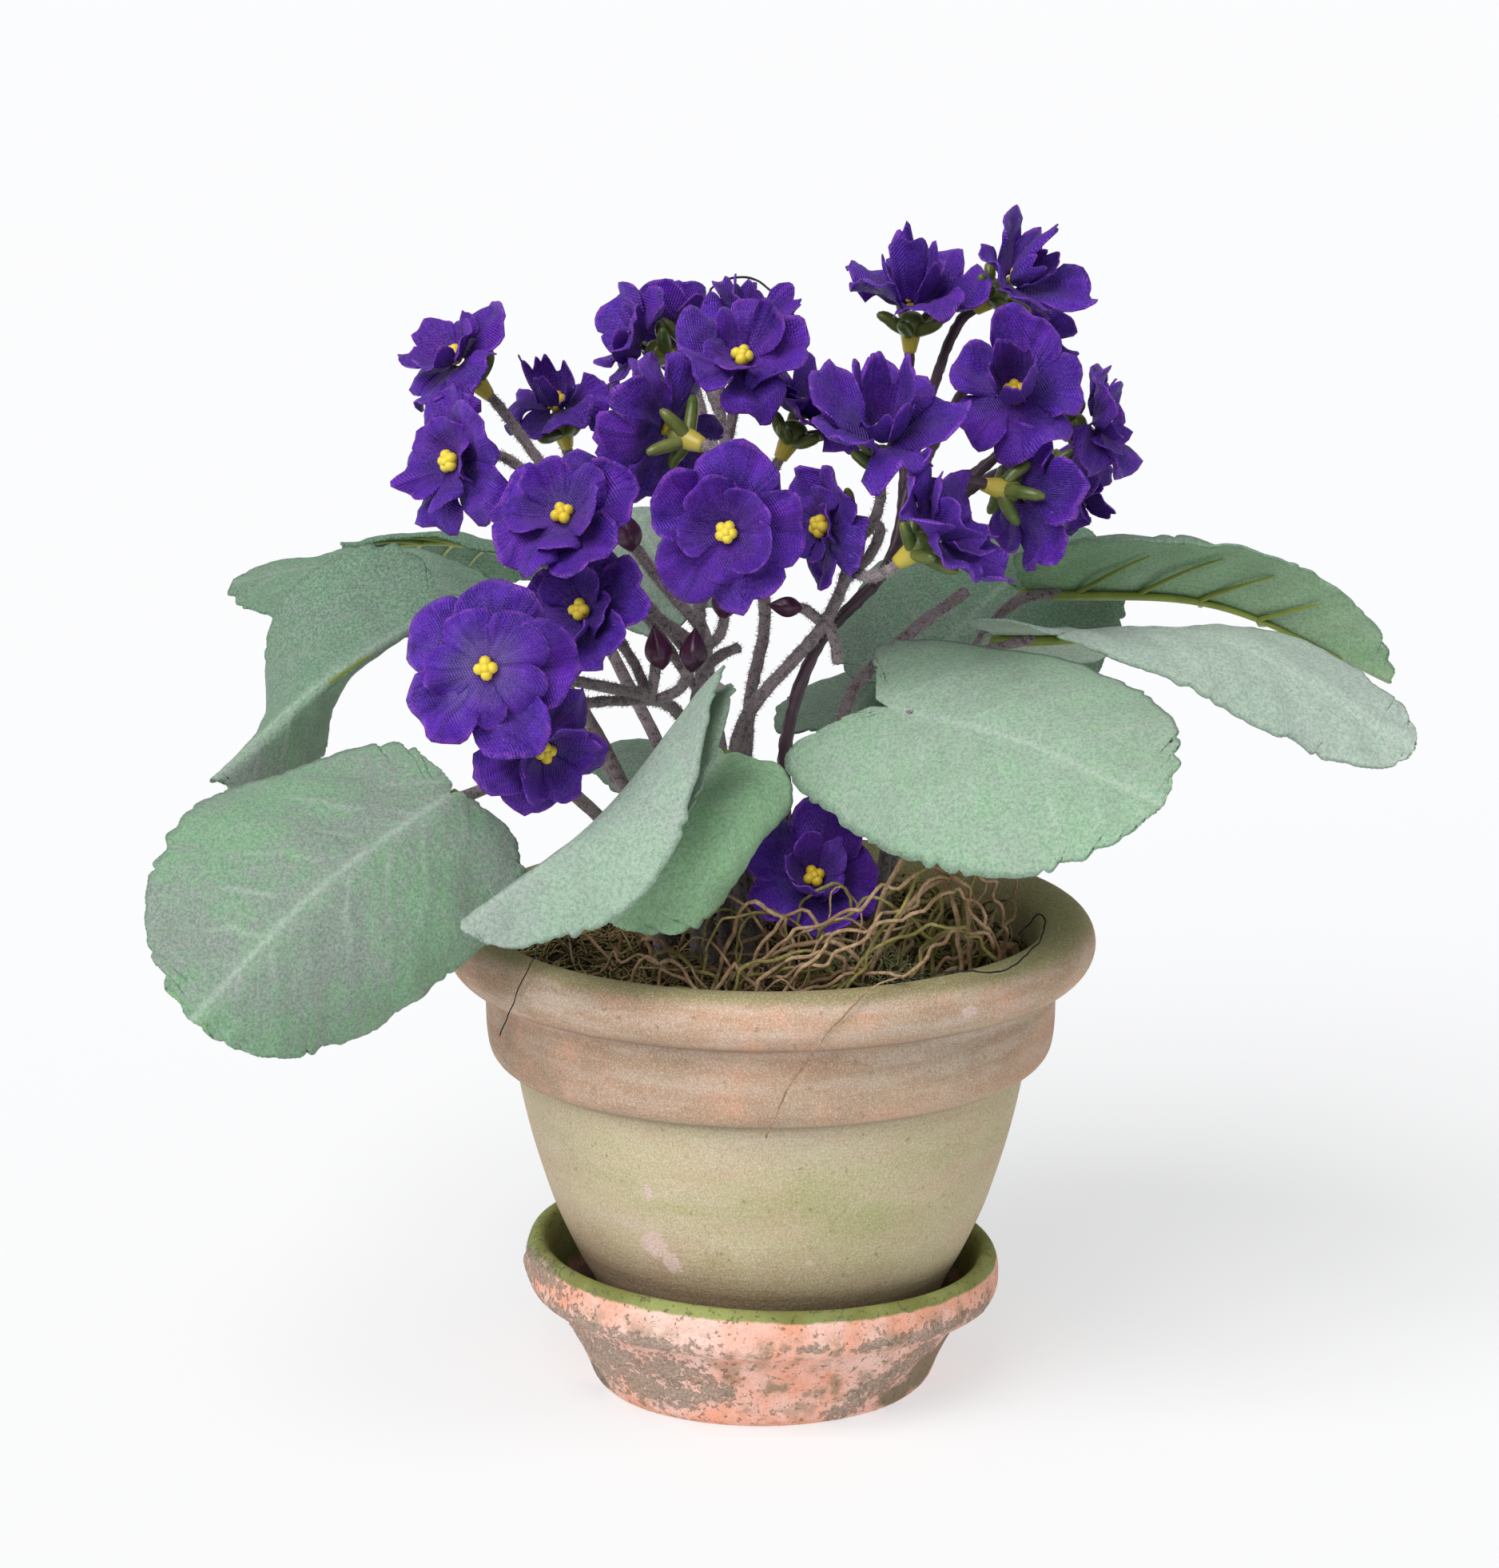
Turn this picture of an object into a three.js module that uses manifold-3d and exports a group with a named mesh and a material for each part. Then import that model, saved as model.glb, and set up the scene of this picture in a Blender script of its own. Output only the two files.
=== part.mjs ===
// A potted african violet, in fabric and moulded plastic, in a weathered terracotta pot on its saucer.
// Millimetres, +Z up. The origin is the middle of the saucer's flat underside, and -Y is the front.

import * as THREE from "three";
import { mergeVertices } from "three/addons/utils/BufferGeometryUtils.js";
import Module from "manifold-3d";

const wasm = await Module();
wasm.setup();

// Driving dimensions
const FIT_GAP = 0.3; // clearance between pieces that rest on or stand in each other
const ROUND_SIDES = 24; // facets round the pot and the saucer

const SAUCER_RADIUS = 46;
const SAUCER_HEIGHT = 27.5;
const SAUCER_FOOT_RADIUS = 32.6;
const SAUCER_FLOOR = 5; // thickness of its floor
const SAUCER_LEAN = 0.045; // share of a height by which the hand-thrown rim rises on the left

const POT_SHIFT = 1.5; // the pot stands this far right of the saucer's middle
const POT_RIM_RADIUS = 62.5;
const POT_ROLL = 5.6; // radius of the rolled rim's section
const POT_TOP = 93.5; // height of the rim's top over the ground
const POT_COLLAR_RADIUS = 54.8;
const POT_COLLAR_BOTTOM = 66;
const POT_FOOT_RADIUS = 27;
const POT_DRAIN_RADIUS = 5.5;
const POT_FOOT_Z = SAUCER_FLOOR + FIT_GAP;

const SOIL_TOP = 80;
const SOIL_BOTTOM = 40;
const STEM_FOOT = 70; // how low the stems stand in the soil
const MOSS_INNER_RADIUS = 25;
const MOSS_OUTER_RADIUS = 49;

const LEAF_THICKNESS = 0.8;
const PETIOLE_RADIUS = 1.5;
const PETAL_DEPTH = 1; // thickness of a petal measured along the bloom's axis
const BLOOM_HOLE = 1.75; // radius of the punched hole that the bloom is threaded on by
const STEM_RADIUS = 1.15;
const TRUNK_RADIUS = 1.5;
const CALYX_LENGTH = 9;
const PIN_RADIUS = 1.15;

// Materials
const paint = (color, roughness) => new THREE.MeshStandardMaterial({ color, roughness, metalness: 0 });
const TERRACOTTA = paint("#b18a6c", 0.9);
const SAUCER_CLAY = paint("#c98d74", 0.92);
const SOIL = paint("#4a3a2a", 1);
const MOSS = paint("#7d6a3f", 1);
const LEAF_GREEN = paint("#6f8f78", 0.85);
const PETAL_PURPLE = paint("#55259a", 0.7);
const STEM_MAUVE = paint("#857a7c", 0.9);

// Solids

// A closed geometry as a solid, turned to face outwards.
function solidOf(geometry) {
  const flat = geometry.clone();
  flat.deleteAttribute("normal");
  flat.deleteAttribute("uv");
  const merged = mergeVertices(flat, 1e-4);
  const place = merged.attributes.position;
  const kept = [];
  let volume = 0;
  const [a, b, c] = [new THREE.Vector3(), new THREE.Vector3(), new THREE.Vector3()];
  for (let i = 0; i < merged.index.count; i += 3) {
    const [p, q, r] = [merged.index.getX(i), merged.index.getX(i + 1), merged.index.getX(i + 2)];
    if (p === q || q === r || r === p) continue;
    kept.push(p, q, r);
    a.fromBufferAttribute(place, p);
    b.fromBufferAttribute(place, q);
    c.fromBufferAttribute(place, r);
    volume += a.dot(b.cross(c));
  }
  if (volume < 0) kept.reverse();
  const mesh = new wasm.Mesh({
    numProp: 3,
    vertProperties: new Float32Array(place.array),
    triVerts: new Uint32Array(kept),
  });
  return new wasm.Manifold(mesh);
}

const fuse = (solids) => solids.reduce((whole, piece) => whole.add(piece));

// A solid as a named piece of the model.
function pieceOf(name, solid, material) {
  const made = solid.getMesh();
  const place = new Float32Array(made.numVert * 3);
  for (let i = 0; i < made.numVert; i += 1) {
    const start = i * made.numProp;
    place.set(made.vertProperties.subarray(start, start + 3), i * 3);
  }
  const geometry = new THREE.BufferGeometry();
  geometry.setAttribute("position", new THREE.BufferAttribute(place, 3));
  geometry.setIndex(new THREE.BufferAttribute(made.triVerts, 1));
  geometry.computeVertexNormals();
  const piece = new THREE.Mesh(geometry, material);
  piece.name = name;
  return piece;
}

const vec = ([x, y, z]) => new THREE.Vector3(x, y, z);

// A fixed run of random draws between 0 and 1.
function drawsFrom(seed) {
  let state = seed;
  return () => {
    state = (state * 16807) % 2147483647;
    return state / 2147483647;
  };
}

// A turned piece from its profile of [radius, height] points.
function turned(profile) {
  const points = profile.map(([radius, height]) => new THREE.Vector2(radius, height));
  return new THREE.LatheGeometry(points, ROUND_SIDES).rotateX(Math.PI / 2);
}

// Triangles between two rings of vertices that start at the same angle.
function stitch(near, far) {
  const triangles = [];
  const [nearSteps, farSteps] = [near.length > 1 ? near.length : 0, far.length > 1 ? far.length : 0];
  let [i, j] = [0, 0];
  while (i < nearSteps || j < farSteps) {
    const farFirst = i >= nearSteps || (j + 1) / far.length <= (i + 1) / near.length + 1e-9;
    const [here, there] = [near[i % near.length], far[j % far.length]];
    if (j < farSteps && farFirst) {
      triangles.push([here, there, far[(j + 1) % far.length]]);
      j += 1;
    } else {
      triangles.push([here, there, near[(i + 1) % near.length]]);
      i += 1;
    }
  }
  return triangles;
}

// A solid from a run of rings of points, each joined to the next. A ring of one point closes an end,
// and closed joins the last ring to the first.
function ringSolid(rings, closed = false) {
  const place = rings.flat();
  let count = 0;
  const ids = rings.map((ring) => ring.map(() => count++));
  const runs = closed ? [...ids, ids[0]] : ids;
  const geometry = new THREE.BufferGeometry().setFromPoints(place);
  geometry.setIndex(runs.slice(1).flatMap((ring, i) => stitch(runs[i], ring)).flat());
  return solidOf(geometry);
}

// A round bar along a smooth route, its radius a function of the way along, 0 to 1.
function bar(route, radiusAt, step, sides) {
  const curve = new THREE.CatmullRomCurve3(route, false, "centripetal");
  const steps = Math.max(2, Math.round(curve.getLength() / step));
  const frames = curve.computeFrenetFrames(steps, false);
  const rings = [[curve.getPointAt(0)]];
  for (let i = 0; i <= steps; i += 1) {
    const middle = curve.getPointAt(i / steps);
    const ring = Array.from({ length: sides }, (_, k) => {
      const turn = (2 * Math.PI * k) / sides;
      const point = middle.clone();
      point.addScaledVector(frames.normals[i], radiusAt(i / steps) * Math.cos(turn));
      return point.addScaledVector(frames.binormals[i], radiusAt(i / steps) * Math.sin(turn));
    });
    rings.push(ring);
  }
  rings.push([curve.getPointAt(1)]);
  return ringSolid(rings);
}

// A thin sheet, cut alike on both faces. rings lists [share of the radius, points round], inner first,
// and surface gives the middle of the sheet at a share of the radius and an angle.
function sheet(rings, surface, thickness) {
  const middle = [];
  const ids = rings.map(([share, count]) => {
    const ring = [];
    for (let k = 0; k < count; k += 1) {
      ring.push(middle.length);
      middle.push(surface(share, (2 * Math.PI * k) / count));
    }
    return ring;
  });
  const faces = ids.slice(1).flatMap((ring, i) => stitch(ids[i], ring));
  const flat = new THREE.BufferGeometry().setFromPoints(middle);
  flat.setIndex(faces.flat());
  flat.computeVertexNormals();
  const normals = flat.attributes.normal;
  const lift = (side) =>
    middle.map((point, i) => {
      const normal = new THREE.Vector3().fromBufferAttribute(normals, i);
      return point.clone().addScaledVector(normal, (side * thickness) / 2);
    });
  const below = middle.length;
  const index = faces.flatMap(([a, b, c]) => [a, b, c, below + a, below + c, below + b]);
  const edge = (ring, turn) => {
    ring.forEach((top, k) => {
      const next = ring[(k + turn + ring.length) % ring.length];
      index.push(top, below + top, below + next);
      index.push(top, below + next, next);
    });
  };
  edge(ids[ids.length - 1], 1);
  if (ids[0].length > 1) edge(ids[0], -1);
  const geometry = new THREE.BufferGeometry().setFromPoints([...lift(1), ...lift(-1)]);
  geometry.setIndex(index);
  return solidOf(geometry);
}

// Saucer: turned, with a banded lip, and a little higher on the left
function makeSaucer() {
  const foot = SAUCER_FOOT_RADIUS;
  const rim = SAUCER_RADIUS;
  const top = SAUCER_HEIGHT;
  const geometry = turned([
    [0, 0],
    [foot - 1, 0],
    [foot + 0.3, 1.2],
    [foot + 4, 9.5],
    [rim - 4.6, 17.3],
    [rim - 1.6, 17.7],
    [rim - 0.3, 19.6],
    [rim, 23.5],
    [rim - 0.8, top - 1.2],
    [rim - 2.4, top],
    [rim - 4, top - 1.2],
    [rim - 4.8, top - 3.8],
    [foot + 4.2, 12.5],
    [foot + 0.8, SAUCER_FLOOR + 1.4],
    [foot - 2, SAUCER_FLOOR],
    [0, SAUCER_FLOOR],
  ]);
  const place = geometry.attributes.position;
  for (let i = 0; i < place.count; i += 1) {
    const over = Math.max(0, place.getZ(i) - SAUCER_FLOOR - 1);
    place.setZ(i, place.getZ(i) - (over * SAUCER_LEAN * place.getX(i) * 2) / SAUCER_RADIUS);
  }
  return pieceOf("saucer", solidOf(geometry), SAUCER_CLAY);
}

// Pot: a bowl-sided terracotta pot with a collar, a rolled rim and a drain hole
const ROLL_MIDDLE = [POT_RIM_RADIUS - POT_ROLL, POT_TOP - POT_ROLL];

function makePot() {
  const roll = [-75, -38, 0, 40, 80, 120, 165].map((degrees) => {
    const turn = THREE.MathUtils.degToRad(degrees);
    return [ROLL_MIDDLE[0] + POT_ROLL * Math.cos(turn), ROLL_MIDDLE[1] + POT_ROLL * Math.sin(turn)];
  });
  const geometry = turned([
    [POT_DRAIN_RADIUS, POT_FOOT_Z],
    [POT_FOOT_RADIUS, POT_FOOT_Z],
    [31.6, 14],
    [35.2, 22.5],
    [39.6, 31],
    [43.2, 40],
    [47, 53],
    [49.2, POT_COLLAR_BOTTOM - 0.4],
    [POT_COLLAR_RADIUS - 2.2, POT_COLLAR_BOTTOM],
    [POT_COLLAR_RADIUS - 0.3, POT_COLLAR_BOTTOM + 3.5],
    [POT_COLLAR_RADIUS, 81.8],
    ...roll,
    [50, 79],
    [47, 62],
    [41, 45],
    [33, 27],
    [24, 14],
    [POT_DRAIN_RADIUS, 12.5],
    [POT_DRAIN_RADIUS, POT_FOOT_Z],
  ]);
  return pieceOf("pot", solidOf(geometry), TERRACOTTA);
}

// Leaves: each a scalloped, heart-based blade on its stalk. base and tip are the ends of the midrib,
// bend lifts the midrib's middle towards the face, and face is where the upper side looks, at the base
// and at the tip. fold turns each half of the blade back from the midrib, and curl turns its margin
// back further, in radians, for the half on the right and the half on the left when the tip is up.
// foot is where the stalk stands in the soil, and stalk is its route from there to the base. lobe is
// how far the two lobes reach back beside the stalk, as a share of the length, where it isn't LOBE.
const LEAVES = [
  {
    name: "leaf_front_left",
    base: [-59, -44, 128],
    tip: [-104, -80, 95],
    bend: 6,
    width: 66,
    face: [[0.2, -0.5, 0.84], [0.2, -0.85, 0.4]],
    fold: [0.2, 0.3],
    curl: [0.4, 0.9],
    wave: 1.6,
    foot: [-20, -12],
    stalk: [[-24, -15, 104], [-42, -26, 126]],
  },
  {
    name: "leaf_front_folded",
    base: [-14.3, -36, 144],
    tip: [-55.7, -74, 110.6],
    bend: -3,
    width: 36,
    face: [[-0.85, 0, 0.5], [0.3, -0.8, 0.5]],
    fold: [2.8, 0.1],
    curl: [0, 0.2],
    wave: 1,
    foot: [-11, -20],
    stalk: [[-13, -14, 108], [-14, -12, 138]],
  },
  {
    name: "leaf_front_centre",
    base: [-8.6, -26, 131],
    tip: [-29.4, -48, 104.2],
    bend: 7,
    width: 48,
    face: [[0.2, -0.4, 0.85], [0, -0.85, 0.5]],
    fold: [1, -0.3],
    curl: [0.2, 2],
    wave: 1.8,
    foot: [-3, -21],
    stalk: [[-6, -17, 104], [-6, -17, 122]],
  },
  {
    name: "leaf_front_right",
    base: [22, -26, 140],
    tip: [70.5, -61, 130],
    bend: 4,
    width: 61,
    face: [[0.1, -0.7, 0.72], [0.25, -0.75, 0.6]],
    fold: [0.05, 0.1],
    curl: [0.5, 0.5],
    wave: 1.4,
    foot: [9, -17],
    stalk: [[10, -17, 108], [14, -18, 132]],
    lobe: 0.3,
  },
  {
    name: "leaf_right_twisted",
    base: [44, -2, 149],
    tip: [121, -16, 129],
    bend: 10,
    width: 40,
    face: [[0.1, 0.2, 1], [0.3, -0.95, 0.4]],
    fold: [-0.2, 0.5],
    curl: [0.2, 0.2],
    wave: 1.4,
    foot: [20, -8],
    stalk: [[22, -6, 106], [32, -1, 134]],
  },
  {
    name: "leaf_right_upper",
    base: [50, 20, 153],
    tip: [121, 22, 134],
    bend: 8,
    width: 46,
    face: [[0, 0.7, 0.7], [0.2, 0.7, 0.6]],
    fold: [0, -1.2],
    curl: [0.2, 0.1],
    wave: 1.2,
    foot: [21, 2],
    stalk: [[24, 4, 106], [36, 12, 136]],
  },
  {
    name: "leaf_back_right",
    base: [26, 30, 130],
    tip: [62, 66, 156],
    bend: 6,
    width: 54,
    face: [[0.1, -0.75, 0.65], [0.1, -0.3, 0.95]],
    fold: [0.1, 0.1],
    curl: [0.4, 0.5],
    wave: 1.6,
    foot: [14, 13],
    stalk: [[15, 14, 100], [19, 20, 118]],
  },
  {
    name: "leaf_back",
    base: [14, 34, 122],
    tip: [34, 84, 122],
    bend: 6,
    width: 42,
    face: [[0, -0.15, 1], [0, 0.5, 0.85]],
    fold: [0.1, 0.1],
    curl: [0.4, 0.4],
    wave: 1.6,
    foot: [7, 19],
    stalk: [[7, 21, 98], [10, 27, 112]],
  },
  {
    name: "leaf_back_middle",
    base: [-12, 34, 110],
    tip: [-26, 80, 100],
    bend: 8,
    width: 40,
    face: [[0, 0.1, 1], [0, 0.6, 0.8]],
    fold: [0.1, 0.1],
    curl: [0.4, 0.4],
    wave: 1.6,
    foot: [-2, 21],
    stalk: [[-2, 23, 92], [-6, 30, 102]],
  },
  {
    name: "leaf_back_left",
    base: [-44, 56, 152],
    tip: [-86, 72, 150],
    bend: 3,
    width: 34,
    face: [[0, 0.42, 0.9], [0, 0.42, 0.9]],
    fold: [0.15, 0.15],
    curl: [0.3, 0.3],
    wave: 1,
    foot: [-14, 16],
    stalk: [[-15, 18, 104], [-27, 36, 128]],
  },
  {
    name: "leaf_left_folded",
    base: [-63, -2, 154],
    tip: [-105, -26, 126],
    bend: 5,
    width: 50,
    face: [[-0.1, -0.8, 0.6], [-0.7, 0.4, 0.6]],
    fold: [-0.1, 2.4],
    curl: [0.1, 0.2],
    wave: 1.4,
    foot: [-21, -1],
    stalk: [[-24, -2, 108], [-42, -2, 142]],
  },
  {
    name: "leaf_left_far",
    base: [-60, 28, 150],
    tip: [-106, 38, 150],
    bend: 5,
    width: 44,
    face: [[-0.1, -0.2, 1], [-0.2, -0.1, 1]],
    fold: [0.1, 0.1],
    curl: [0.3, 0.3],
    wave: 1.4,
    foot: [-19, 8],
    stalk: [[-22, 9, 104], [-42, 15, 132]],
  },
  {
    name: "leaf_back_small",
    base: [-15, 42, 144],
    tip: [-30, 70, 158],
    bend: 3,
    width: 32,
    face: [[-0.1, -0.7, 0.7], [-0.1, -0.3, 0.95]],
    fold: [0.1, 0.1],
    curl: [0.3, 0.3],
    wave: 1,
    foot: [-8, 17],
    stalk: [[-8, 19, 108], [-12, 28, 134]],
  },
];

// Outline of a blade at a turn from its base: [along the midrib, across it], for a length, a width and
// the reach of its base lobes.
const SCALLOPS = 16;
const SCALLOP_DEPTH = 0.035;
const LOBE = 0.13;

function bladeOutline(length, width, lobes, turn) {
  const lobe = lobes * Math.exp(-(((Math.PI - Math.abs(turn - Math.PI)) / 0.42 - 1.3) ** 2));
  const scallop = 1 - SCALLOP_DEPTH * (0.5 + 0.5 * Math.cos(SCALLOPS * turn));
  const along = length * ((1 - Math.cos(turn)) / 2 - lobe);
  const across = (width / 2) * Math.sin(turn) * (1 + 0.12 * Math.cos(turn));
  const middle = 0.48 * length;
  return [middle + (along - middle) * scallop, across * scallop];
}

// The blade bent into its place: its length, and a function from [along, across] to a point.
function bladeShape(leaf) {
  const [base, tip] = [vec(leaf.base), vec(leaf.tip)];
  const chord = tip.clone().sub(base);
  const lift = vec(leaf.face[0]).addScaledVector(chord, -vec(leaf.face[0]).dot(chord) / chord.lengthSq());
  const middle = base.clone().lerp(tip, 0.5).addScaledVector(lift.normalize(), leaf.bend);
  const curve = new THREE.CatmullRomCurve3([base, middle, tip], false, "centripetal");
  const length = curve.getLength();
  const place = (along, across) => {
    const share = THREE.MathUtils.clamp(along / length, 0, 1);
    const tangent = curve.getTangentAt(share);
    const point = curve.getPointAt(share).addScaledVector(tangent, along - share * length);
    const face = vec(leaf.face[0]).lerp(vec(leaf.face[1]), share);
    face.addScaledVector(tangent, -face.dot(tangent)).normalize();
    const side = new THREE.Vector3().crossVectors(tangent, face);
    const half = across < 0 ? 1 : 0;
    const reach = Math.abs(across);
    const pieces = 6;
    for (let k = 0; k < pieces; k += 1) {
      const part = ((k + 0.5) / pieces) * reach;
      const angle = leaf.fold[half] + leaf.curl[half] * (part / (leaf.width / 2)) ** 2 * 1.5;
      point.addScaledVector(side, (Math.sign(across) * Math.cos(angle) * reach) / pieces);
      point.addScaledVector(face, (-Math.sin(angle) * reach) / pieces);
    }
    const edge = (2 * reach) / leaf.width;
    const ripple = leaf.wave * edge * edge * Math.sin(7 * share + (half ? 2.1 : 0) + leaf.width);
    return point.addScaledVector(face, ripple);
  };
  return { length, place };
}

function makeLeaf(leaf) {
  const { length, place } = bladeShape(leaf);
  const middle = 0.48 * length;
  const rings = [[0, 1], [0.6, 12], [1, 2 * SCALLOPS]];
  const blade = sheet(
    rings,
    (share, turn) => {
      const [along, across] = bladeOutline(length, leaf.width, leaf.lobe ?? LOBE, turn);
      return place(middle + share * (along - middle), share * across);
    },
    LEAF_THICKNESS,
  );
  const [x, y] = leaf.foot;
  const route = [[x, y, STEM_FOOT], [x, y, SOIL_TOP + 3], ...leaf.stalk].map(vec);
  const under = vec(leaf.face[0]).normalize();
  route.push(place(-3, 0).addScaledVector(under, -4), place(6, 0).addScaledVector(under, -1));
  const stalk = bar(route, (way) => PETIOLE_RADIUS * (1 - 0.25 * way), 14, 4);
  return pieceOf(leaf.name, blade.add(stalk), LEAF_GREEN);
}

// Blooms: two punched fabric layers, each of five petals, threaded on the calyx pin. at is the middle
// of the bloom, turn and rise are the way that it looks, in degrees from the front and up from level,
// stem is the spray that carries it, and from is how far up that spray's trunk its stem leaves.
const BLOOMS = [
  { at: [-51, -60, 155], turn: -8, rise: 12, radius: 16.5, stem: "left", from: 0.97 },
  { at: [-42, -50, 138], turn: 25, rise: -12, radius: 14, stem: "left", from: 0.93 },
  { at: [-34.5, -28, 158], turn: -30, rise: 30, radius: 13.5, stem: "left", from: 0.95 },
  { at: [-38, -26, 175.5], turn: -18, rise: 42, radius: 16, stem: "centre", from: 0.76 },
  { at: [-59, -8, 183], turn: -42, rise: 5, radius: 15, stem: "centre", from: 0.72 },
  { at: [-59, 8, 199], turn: -60, rise: 48, radius: 13.5, stem: "centre", from: 0.66 },
  { at: [-41, 24, 187], turn: -20, rise: 60, radius: 12.5, stem: "centre", from: 0.8 },
  { at: [-19.5, 2, 187], turn: -130, rise: 12, radius: 15.5, stem: "centre", from: 0.92 },
  { at: [-25, 34, 198], turn: -80, rise: 28, radius: 12, stem: "back", from: 0.9 },
  { at: [-15, 44, 199], turn: 180, rise: 35, radius: 11.5, stem: "back", from: 0.94 },
  { at: [-5.5, -4, 201], turn: 8, rise: 48, radius: 13.5, stem: "centre", from: 0.97 },
  { at: [-4, 25, 203], turn: 60, rise: 60, radius: 12, stem: "back", from: 0.98 },
  { at: [-8, -34, 174.5], turn: -6, rise: 14, radius: 15.5, stem: "centre", from: 0.84 },
  { at: [10.5, -20, 173], turn: -50, rise: 8, radius: 12.5, stem: "flocked", from: 0.9 },
  { at: [20.5, -26, 190], turn: 5, rise: 70, radius: 16, stem: "flocked", from: 0.98 },
  { at: [6, 10, 188], turn: 70, rise: 62, radius: 13, stem: "back", from: 0.84 },
  { at: [30, -36, 174.5], turn: 72, rise: 38, radius: 15, stem: "flocked", from: 0.94 },
  { at: [27, 18, 208], turn: 10, rise: 78, radius: 15, stem: "right", from: 0.95 },
  { at: [46, 22, 212], turn: 66, rise: 38, radius: 12.5, stem: "right", from: 0.98 },
  { at: [45.5, -10, 195.5], turn: -6, rise: 42, radius: 15, stem: "right", from: 0.92 },
  { at: [47, -14, 178], turn: 122, rise: -16, radius: 14.5, stem: "right", from: 0.82 },
  { at: [61, 4, 188], turn: 76, rise: 14, radius: 12.5, stem: "right", from: 0.9 },
  { at: [50.5, 36, 197], turn: 120, rise: 20, radius: 12.5, stem: "right", from: 0.94 },
  { at: [58, 20, 174], turn: 100, rise: -10, radius: 12, stem: "right", from: 0.86 },
  { at: [8, -28, 107], turn: 4, rise: 34, radius: 14, stem: "right", from: 0.2 },
];

// The way that a bloom looks.
function lookOf({ turn, rise }) {
  const [side, up] = [THREE.MathUtils.degToRad(turn), THREE.MathUtils.degToRad(rise)];
  return new THREE.Vector3(Math.sin(side) * Math.cos(up), -Math.cos(side) * Math.cos(up), Math.sin(up));
}

// Moves and turns a solid built on the origin, facing +Z, to a bloom's place.
function seat(solid, bloom) {
  const turn = new THREE.Quaternion().setFromUnitVectors(new THREE.Vector3(0, 0, 1), lookOf(bloom));
  const matrix = new THREE.Matrix4().compose(vec(bloom.at), turn, new THREE.Vector3(1, 1, 1));
  return solid.transform(matrix.elements);
}

const PETALS = 5;
const HUB_RADIUS = 3.4; // where the two layers are pressed together
const SHOULDER = 0.1; // how much a petal's shoulders are spread, in radians
const round = (count, point) => Array.from({ length: count }, (_, k) => point((2 * Math.PI * k) / count));

// A point of a fabric layer's margin: each petal is rounded, with spread shoulders, and cupped by a
// draw of its own.
function petalPoint(layer, angle) {
  const turn = angle + layer.offset;
  const spread = SHOULDER * Math.sin(PETALS * turn);
  const way = ((turn + spread) * PETALS) / (2 * Math.PI);
  const inPetal = 2 * Math.abs(way - Math.round(way));
  const reach = 1 - 0.36 * inPetal ** 3;
  const lift = layer.lifts[Math.round(way) % PETALS] * 0.5 * (1 - inPetal);
  const ruffle = 0.1 * Math.cos(2 * angle + layer.start * 3);
  const rise = layer.radius * (reach - 0.2) * (layer.cup + lift + ruffle + 0.12 * inPetal);
  const out = layer.radius * reach * Math.cos(layer.cup);
  const toward = angle + spread + layer.start;
  return [out * Math.cos(toward), out * Math.sin(toward), rise];
}

function makeBloom(bloom, number) {
  const draw = drawsFrom(101 + 37 * number);
  const start = draw() * 2;
  const lifts = () => Array.from({ length: PETALS }, () => draw() - 0.5);
  const outer = { radius: bloom.radius, cup: 0.28, offset: 0, start, lifts: lifts() };
  const inner = { radius: bloom.radius * 0.76, cup: 0.7, offset: Math.PI / PETALS, start, lifts: lifts() };
  const half = PETAL_DEPTH / 2;
  const margin = (layer, height) =>
    round(4 * PETALS, (angle) => {
      const [x, y, z] = petalPoint(layer, angle);
      return vec([x, y, z + height]);
    });
  const flat = (radius, height) =>
    round(PETALS, (angle) => vec([radius * Math.cos(angle + start), radius * Math.sin(angle + start), height]));
  const solid = ringSolid(
    [
      flat(BLOOM_HOLE, -half),
      margin(outer, -half),
      margin(outer, half),
      flat(HUB_RADIUS, half),
      margin(inner, half + 0.3),
      margin(inner, half + 0.3 + PETAL_DEPTH),
      flat(BLOOM_HOLE, half + 0.6),
    ],
    true,
  );
  const name = "bloom_" + String(number + 1).padStart(2, "0");
  return pieceOf(name, seat(solid, bloom), PETAL_PURPLE);
}

// Calyx: a moulded cup with five finger-like sepals behind the petals, the pin through their holes
// and the five-lobed eye on its end.
const CALYX_TOP = -PETAL_DEPTH / 2 - FIT_GAP;
const EYE_FOOT = PETAL_DEPTH / 2 + 0.6 + FIT_GAP;
const EYE_RADIUS = 2.2;
const SEPAL_REACH = 5.6;

function calyxSolid() {
  const ring = (radius, height) =>
    round(PETALS, (angle) => vec([radius * Math.cos(angle), radius * Math.sin(angle), height]));
  const star = (height) =>
    round(2 * PETALS, (angle) => {
      const out = Math.cos(PETALS * angle) > 0 ? SEPAL_REACH : 2;
      return vec([out * Math.cos(angle), out * Math.sin(angle), height + 0.08 * (out - 2)]);
    });
  return ringSolid([
    [vec([0, 0, -CALYX_LENGTH])],
    ring(1.5, -CALYX_LENGTH),
    ring(2.2, -4.6),
    star(CALYX_TOP - 0.9),
    ring(PIN_RADIUS, CALYX_TOP),
    ring(PIN_RADIUS, EYE_FOOT),
    ring(EYE_RADIUS, EYE_FOOT + 1),
    ring(EYE_RADIUS * 0.6, EYE_FOOT + 2),
    [vec([0, 0, EYE_FOOT + 2.1])],
  ]);
}

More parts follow.
